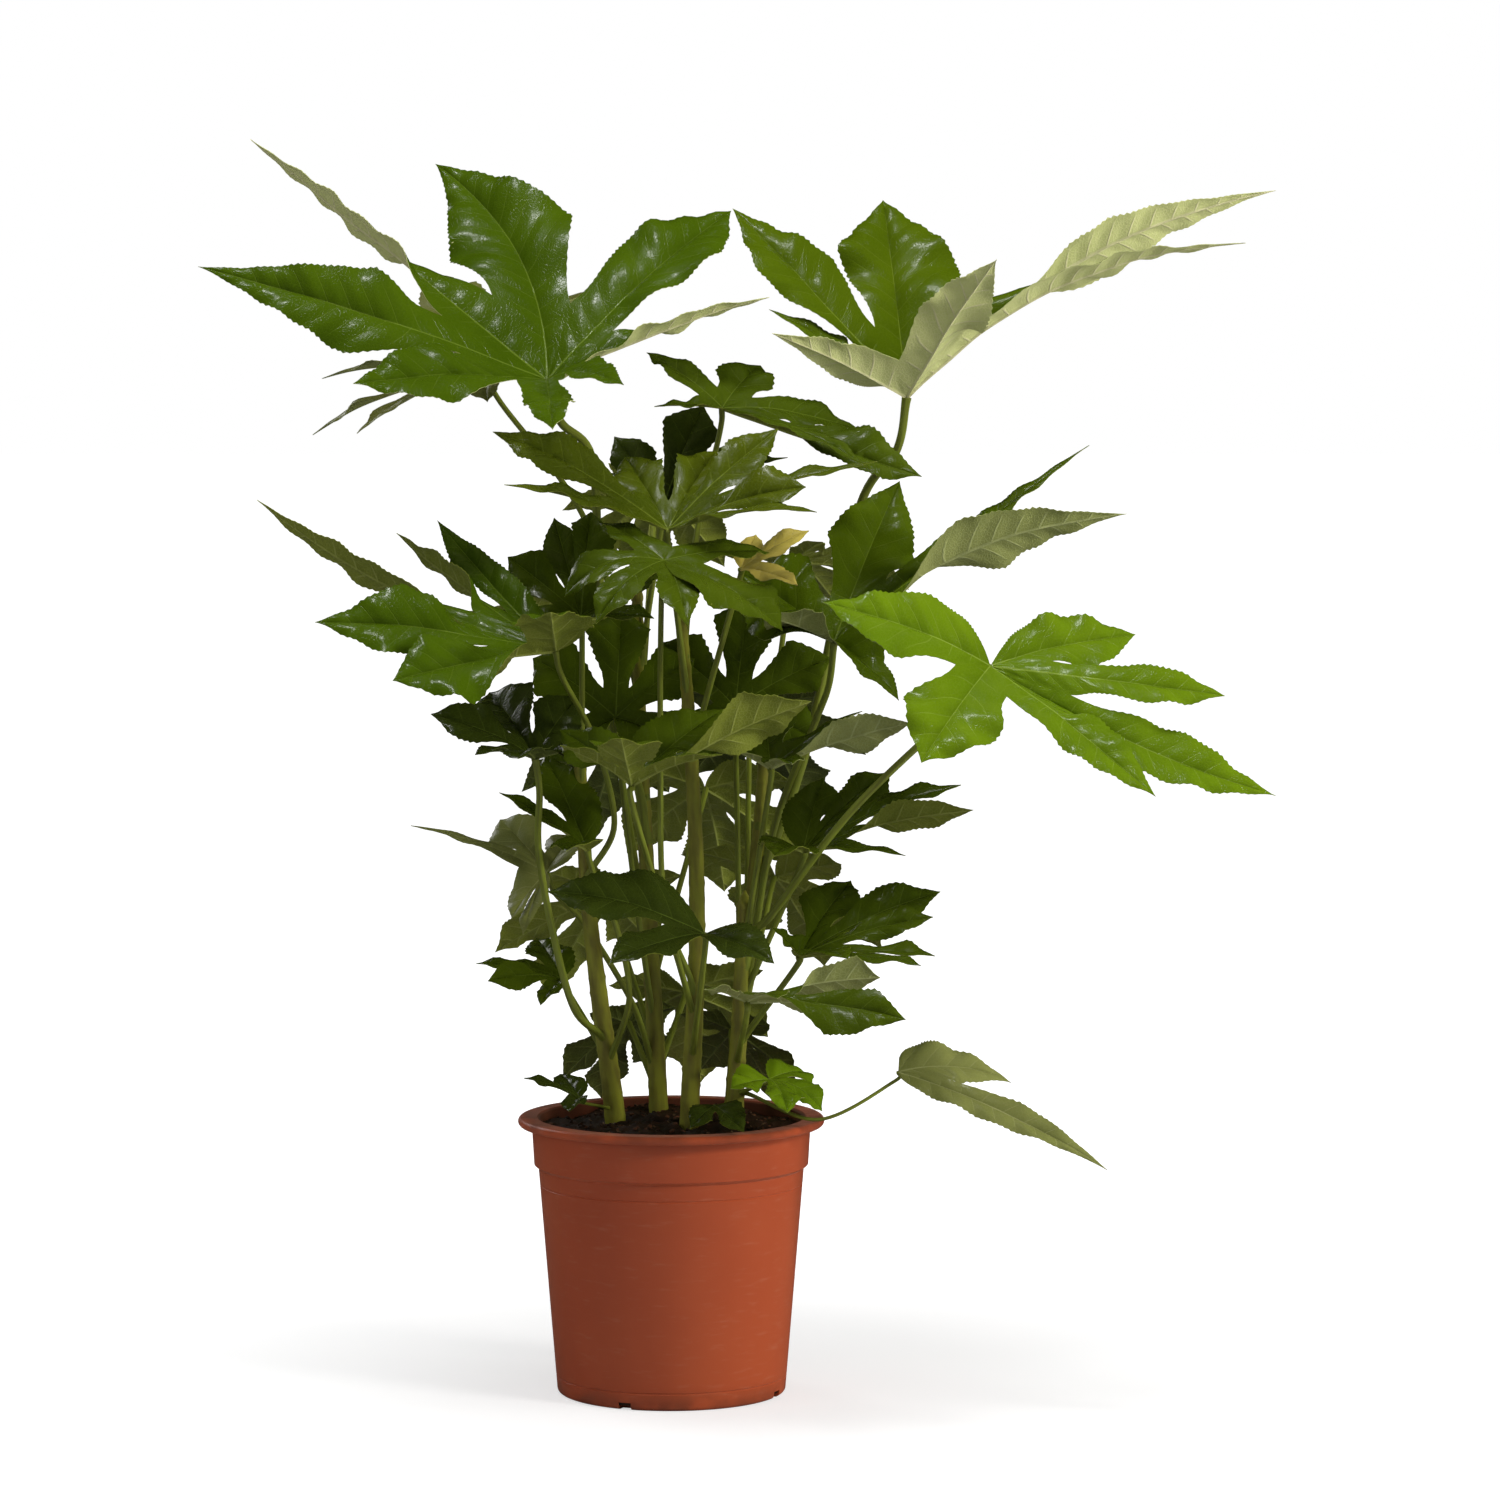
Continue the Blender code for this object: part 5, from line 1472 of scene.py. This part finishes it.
def pot_profile():
    """From the middle of the inside, over the rim and down the outside, to the middle below."""
    lip_middle = (RIM_RADIUS - RIM_LIP / 2, POT_HEIGHT - RIM_LIP / 2)
    collar_middle = (COLLAR_FOOT_RADIUS - COLLAR_ROUND, SHOULDER + COLLAR_ROUND)
    profile = [
        (0.0, POT_FLOOR),
        (pot_inner_radius(POT_FLOOR), POT_FLOOR),
        (pot_inner_radius(SHOULDER), SHOULDER),
        (BODY_TOP_RADIUS - POT_WALL, POT_HEIGHT - RIM_LIP),
        (BODY_TOP_RADIUS - POT_WALL / 2, POT_HEIGHT - MOUTH_EDGE),
        (BODY_TOP_RADIUS + RIM_STEP, POT_HEIGHT),
    ]
    profile += arc(lip_middle, RIM_LIP / 2, 90, -60, 16)
    profile.append((COLLAR_RADIUS + LIP_FILLET[0], POT_HEIGHT - RIM_LIP - LIP_FILLET[1]))
    profile.append((COLLAR_RADIUS, POT_HEIGHT - RIM_LIP - RIM_STEP))
    profile += arc(collar_middle, COLLAR_ROUND, 0, -80, 5)
    profile.append((BODY_TOP_RADIUS, SHOULDER - COLLAR_UNDERCUT))
    for height in LEDGE_HEIGHTS:
        for rise, depth in LEDGE_SHAPE:
            level = height + rise
            profile.append((body_radius(level) - LEDGE_DEPTH * depth, level))
    profile += arc((BASE_RADIUS - BASE_ROUND, BASE_ROUND), BASE_ROUND, 0, -90, 6)
    profile.append((BASE_RADIUS - BASE_RING[0], 0.0))
    profile.append((BASE_RADIUS - BASE_RING[1], BASE_HOLLOW))
    profile.append((0.0, BASE_HOLLOW))
    return profile


def turn_profile(profile, sides, height_at=None):
    """Points and faces of a profile turned about the Z axis. Its ends lie on the axis. A place
    without a height takes it from height_at(radius, angle)."""

    def height_of(radius, height, angle):
        return height_at(radius, angle) if height is None else height

    points = [Vector((0, 0, height_of(0, profile[0][1], 0)))]
    for radius, height in profile[1:-1]:
        for side in range(sides):
            angle = side * math.tau / sides
            x, y = radius * math.cos(angle), radius * math.sin(angle)
            points.append(Vector((x, y, height_of(radius, height, angle))))
    points.append(Vector((0, 0, profile[-1][1])))
    last = len(points) - 1
    faces = []
    for side in range(sides):
        following = (side + 1) % sides
        faces.append((0, 1 + side, 1 + following))
        for ring in range(len(profile) - 3):
            low, high = 1 + ring * sides, 1 + (ring + 1) * sides
            faces.append((low + side, high + side, high + following, low + following))
        base = 1 + (len(profile) - 3) * sides
        faces.append((last, base + following, base + side))
    return points, faces


print("pot profile:", len(pot_profile()), "points")

# %% [markdown]
# ## The pot's finish
#
# Terracotta-coloured plastic is even in colour, but not perfectly: the pigment drifts a
# little, handling leaves pale scuffs, and wet soil leaves dark smudges near the rim and the
# foot. The wall inside, above the soil, is darkened as painted shade. Its skin is satin, with a
# fine grain from the mould.

# %% Terracotta-coloured plastic
PLASTIC = ((0.395, 0.065, 0.020), (0.465, 0.088, 0.028))
SCUFFED = (0.56, 0.25, 0.15)
# The dark of wet soil on the pot. The same dark is painted shade on the wall inside.
SOILED_AND_SHADED = (0.060, 0.024, 0.012)
RUBS_PER_METRE = (60.0, 60.0, 340.0)
SCUFFS_SHOWN = 0.18
SMUDGES_SHOWN = 0.5
RIM_SMUDGES = 0.010
FOOT_SMUDGES = 0.018
# How dark the painted shade on the wall inside is, and how far it fades in above the shoulder.
INSIDE_PAINTED_SHADE = 0.85
INSIDE_SHADE_RISE = 0.004
POT_ROUGHNESS = (0.40, 0.62)


def painted_shade_inside(tree, place, height):
    """Where the painted shade goes: 1 on the wall's inner side above the shoulder, 0 on the collar
    and the lip.
    """
    flat = make(tree, "ShaderNodeVectorMath", {0: place, 1: (1.0, 1.0, 0.0)}, operation="MULTIPLY")
    radius = make(tree, "ShaderNodeVectorMath", {0: flat.outputs[0]}, operation="LENGTH")
    wall = BODY_TOP_RADIUS + 0.003, BODY_TOP_RADIUS - POT_WALL / 2
    inside = ramp(tree, radius.outputs["Value"], *wall)
    high_up = ramp(tree, height, SHOULDER, SHOULDER + INSIDE_SHADE_RISE)
    return calculate(tree, "MULTIPLY", inside, high_up)


def pot_finish():
    material, tree, shader = new_material("terracotta_plastic")
    place = make(tree, "ShaderNodeTexCoord").outputs["Object"]
    height = make(tree, "ShaderNodeSeparateXYZ", {0: place}).outputs["Z"]
    drift = use_group(tree, mottle, {"Scale": 9.0, "Contrast": 0.1})
    colour = mix_colours(tree, drift.outputs["Mask"], *PLASTIC)
    rubs = make(tree, "ShaderNodeMapping", {"Vector": place, "Scale": RUBS_PER_METRE}).outputs[0]
    rubs = make(tree, "ShaderNodeTexNoise", {"Vector": rubs, "Scale": 1.0, "Detail": 6.0})
    rubs = rubs.outputs["Fac"]
    scuffs = ramp(tree, rubs, 0.54, 0.82, 0.0, SCUFFS_SHOWN)
    colour = mix_colours(tree, scuffs, colour, SCUFFED)
    spots = use_group(tree, mottle, {"Scale": 45.0, "Detail": 8.0, "Contrast": 0.7})
    near_rim = ramp(tree, height, POT_HEIGHT - RIM_SMUDGES, POT_HEIGHT, 0.0, SMUDGES_SHOWN)
    near_foot = ramp(tree, height, FOOT_SMUDGES, 0.0, 0.0, SMUDGES_SHOWN)
    dirt_and_shade = calculate(tree, "MAXIMUM", near_rim, near_foot)
    dirt_and_shade = calculate(tree, "MULTIPLY", dirt_and_shade, spots.outputs["Mask"])
    # Painted shade on the wall inside, taken together with the dirt.
    inside_shade = calculate(tree, "MULTIPLY", painted_shade_inside(tree, place, height), INSIDE_PAINTED_SHADE)
    dirt_and_shade = calculate(tree, "MAXIMUM", dirt_and_shade, inside_shade)
    colour = mix_colours(tree, dirt_and_shade, colour, SOILED_AND_SHADED)
    sheen = ramp(tree, calculate(tree, "ADD", scuffs, dirt_and_shade), 0.0, 0.6, *POT_ROUGHNESS)
    fine = use_group(tree, grain, {"Scale": 1500.0, "Strength": 0.6})
    relief = calculate(tree, "ADD", fine.outputs["Height"], calculate(tree, "MULTIPLY", rubs, 0.5))
    join_finish(tree, shader, colour, sheen, relief, 0.25, 0.0003)
    shader.inputs["Sheen Weight"].default_value = 0.14
    shader.inputs["Sheen Roughness"].default_value = 0.45
    shader.inputs["Sheen Tint"].default_value = (1.0, 0.72, 0.58, 1.0)
    return material


POT_PLASTIC = pot_finish()
print("pot finish:", POT_PLASTIC.name)

# %% Turn the pot and cut its drain notches
DRAIN_NOTCHES = 4
DRAIN_WIDTH = 0.009
DRAIN_HEIGHT = 0.005
DRAIN_REACH = 0.012
FIRST_DRAIN_ANGLE = math.radians(247.0)
POT_CREASE = 32.0


def cut_away(piece, cutter):
    modifier = piece.modifiers.new("cut", "BOOLEAN")
    modifier.operation = "DIFFERENCE"
    modifier.solver = "EXACT"
    modifier.object = cutter
    bpy.context.view_layer.update()
    graph = bpy.context.evaluated_depsgraph_get()
    piece.data = bpy.data.meshes.new_from_object(piece.evaluated_get(graph))
    piece.modifiers.clear()
    bpy.data.objects.remove(cutter, do_unlink=True)


def drain_cutter():
    shapes = bmesh.new()
    for number in range(DRAIN_NOTCHES):
        turn = Matrix.Rotation(FIRST_DRAIN_ANGLE + number * math.tau / DRAIN_NOTCHES, 4, "Z")
        reach = Matrix.Translation((BASE_RADIUS - DRAIN_REACH / 6, 0.0, 0.0))
        size = Matrix.Diagonal((DRAIN_REACH, DRAIN_WIDTH, 2 * DRAIN_HEIGHT, 1.0))
        bmesh.ops.create_cube(shapes, size=1.0, matrix=turn @ reach @ size)
    mesh = bpy.data.meshes.new("drain_cutter")
    shapes.to_mesh(mesh)
    shapes.free()
    cutter = bpy.data.objects.new("drain_cutter", mesh)
    bpy.context.scene.collection.objects.link(cutter)
    return cutter


pot_points, pot_faces = turn_profile(pot_profile(), POT_TURNS)
materials = [POT_PLASTIC]
pot_piece = add_piece("turned_pot", pot_points, pot_faces, materials=materials, crease=POT_CREASE)
cut_away(pot_piece, drain_cutter())
pot_piece.data.name = "turned_pot"
pot_piece.data.set_sharp_from_angle(angle=math.radians(POT_CREASE))
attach(pot_piece, "root")
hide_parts("pot")
print("pot:", len(pot_piece.data.polygons), "faces")

# %% [markdown]
# ## The soil
#
# Potting mix is dark peat with lighter shreds of bark and coir in it. Its surface sinks
# towards the wall and is lumpy where it was pressed down. A flat disc with a bumpy texture
# looks painted at the rim, where it is seen edge on, so the bed has real lumps and loose
# crumbs lie on it, each a small crushed stone of its own.

# %% The bed of soil
SOIL_LEVEL = 0.1835
SOIL_LUMP = 0.0035
SOIL_CROWN = 0.6
SOIL_SAG = 0.8
SOIL_RIPPLES = ((3, 40, 0.0, 0.5), (7, -90, 1.3, 0.3), (11, 170, 0.4, 0.25))
SOIL_ROUND = 216
SOIL_ACROSS = 62
CLODS = ((190.0, 0.0016), (460.0, 0.0008), (1100.0, 0.0004))
SOIL_ROUGHNESS = (0.78, 0.95)
SOIL_CREASE = 75.0


def soil_height(radius, angle):
    """The height of the soil's lumpy top, lower towards the pot's wall."""
    lumps = SOIL_CROWN - SOIL_SAG * (radius / RIM_RADIUS) ** 2
    for around, along, turn, strength in SOIL_RIPPLES:
        lumps += math.sin(around * angle + along * radius + turn) * strength
    return SOIL_LEVEL + SOIL_LUMP * lumps


def crumbled_height(radius, angle):
    x, y = radius * math.cos(angle), radius * math.sin(angle)
    rise = sum(noise.noise(Vector((x, y, 0.3)) * scale) * size for scale, size in CLODS)
    return soil_height(radius, angle) + rise


def soil_finish(name, dark, light, patches):
    material, tree, shader = new_material(name)
    clumps = use_group(tree, mottle, {"Scale": patches, "Detail": 8.0, "Contrast": 0.5})
    clumps = clumps.outputs["Mask"]
    colour = mix_colours(tree, clumps, dark, light)
    damp = ramp(tree, clumps, 0.0, 1.0, *SOIL_ROUGHNESS)
    fine = use_group(tree, grain, {"Scale": 1300.0, "Strength": 1.0})
    join_finish(tree, shader, colour, damp, fine.outputs["Height"], 0.8, 0.0006)
    return material


PEAT = soil_finish("peat", (0.013, 0.007, 0.004), (0.044, 0.020, 0.010), 150.0)
BARK_CHIP = soil_finish("bark_chip", (0.060, 0.024, 0.012), (0.150, 0.064, 0.030), 90.0)
COIR = soil_finish("coir", (0.120, 0.070, 0.035), (0.240, 0.150, 0.080), 120.0)

soil_edge = pot_inner_radius(SOIL_LEVEL) - GAP
soil_profile = [(soil_edge * (k / SOIL_ACROSS), None) for k in range(SOIL_ACROSS + 1)]
soil_profile += [(pot_inner_radius(level) - GAP, level) for level in (SHOULDER, POT_FLOOR + GAP)]
soil_profile.append((0.0, POT_FLOOR + GAP))
soil_points, soil_faces = turn_profile(soil_profile, SOIL_ROUND, crumbled_height)
soil_piece = add_piece("soil_bed", soil_points, soil_faces, materials=[PEAT], crease=SOIL_CREASE)
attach(soil_piece, "root")
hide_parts("soil")
print("soil bed:", len(soil_faces), "faces")

# %% Crumbs, chips and shreds on the soil
CRUMBS = 520
CRUMB_SEED = 17
# For each kind its material's number, its share, its range of sizes and that of its thinness.
CRUMB_KINDS = (
    (0, 0.58, (0.0014, 0.0034), (0.6, 1.0)),
    (1, 0.28, (0.0018, 0.0046), (0.25, 0.6)),
    (2, 0.14, (0.0022, 0.0060), (0.12, 0.25)),
)
SHRED = 2
CRUMB_WIDTH = 0.8
FROM_WALL = 0.003
FROM_STEM = 0.002
CRUMB_TILT = 0.5
CRUMB_SUNK = 0.35
CRUMB_ROUGH = 0.45


def crumb_ball():
    ball = bmesh.new()
    bmesh.ops.create_icosphere(ball, subdivisions=2, radius=1.0)
    points = [vert.co.copy() for vert in ball.verts]
    faces = [tuple(vert.index for vert in face.verts) for face in ball.faces]
    ball.free()
    return points, faces


def scatter_crumbs():
    draw = random.Random(CRUMB_SEED)
    ball_points, ball_faces = crumb_ball()
    stems = [(stem_axis(name)[4], STEMS[name]["thick"][0] * MM) for name in STEMS]
    points, faces, numbers = [], [], []
    for _ in range(CRUMBS):
        kind = draw.choices(CRUMB_KINDS, [row[1] for row in CRUMB_KINDS])[0]
        radius = math.sqrt(draw.uniform(0, 1)) * (soil_edge - FROM_WALL)
        angle = draw.uniform(0, math.tau)
        middle = Vector((radius * math.cos(angle), radius * math.sin(angle), 0))
        if any((middle - axis).xy.length < thick + FROM_STEM for axis, thick in stems):
            continue
        size = draw.uniform(*kind[2]) / 2
        thin = draw.uniform(*kind[3])
        across = thin if kind[0] == SHRED else CRUMB_WIDTH
        shape = Matrix.Diagonal((size, size * across, size * thin))
        turn = Matrix.Rotation(draw.uniform(0, math.tau), 3, "Z")
        turn = turn @ Matrix.Rotation(draw.uniform(-CRUMB_TILT, CRUMB_TILT), 3, "Y")
        middle.z = crumbled_height(radius, angle) + size * thin * CRUMB_SUNK
        seed = Vector((draw.uniform(0, 90), 0, 0))
        first = len(points)
        for point in ball_points:
            rough = 1 + CRUMB_ROUGH * noise.noise(point * 1.3 + seed)
            points.append(middle + turn @ (shape @ (point * rough)))
        faces += [tuple(first + corner for corner in face) for face in ball_faces]
        numbers += [kind[0]] * len(ball_faces)
    kinds = [PEAT, BARK_CHIP, COIR]
    piece = add_piece("soil_crumbs", points, faces, materials=kinds, numbers=numbers)
    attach(piece, "root")
    return len(faces)


print("crumbs:", scatter_crumbs(), "faces")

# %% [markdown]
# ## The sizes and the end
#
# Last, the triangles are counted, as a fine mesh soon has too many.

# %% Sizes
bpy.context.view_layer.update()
counts = {}
for piece in PIECES:
    counts[piece.name] = sum(len(face.vertices) - 2 for face in piece.data.polygons)
most = max(counts, key=counts.get)
print("triangles:", sum(counts.values()), "in all, at most", counts[most], "in", most)
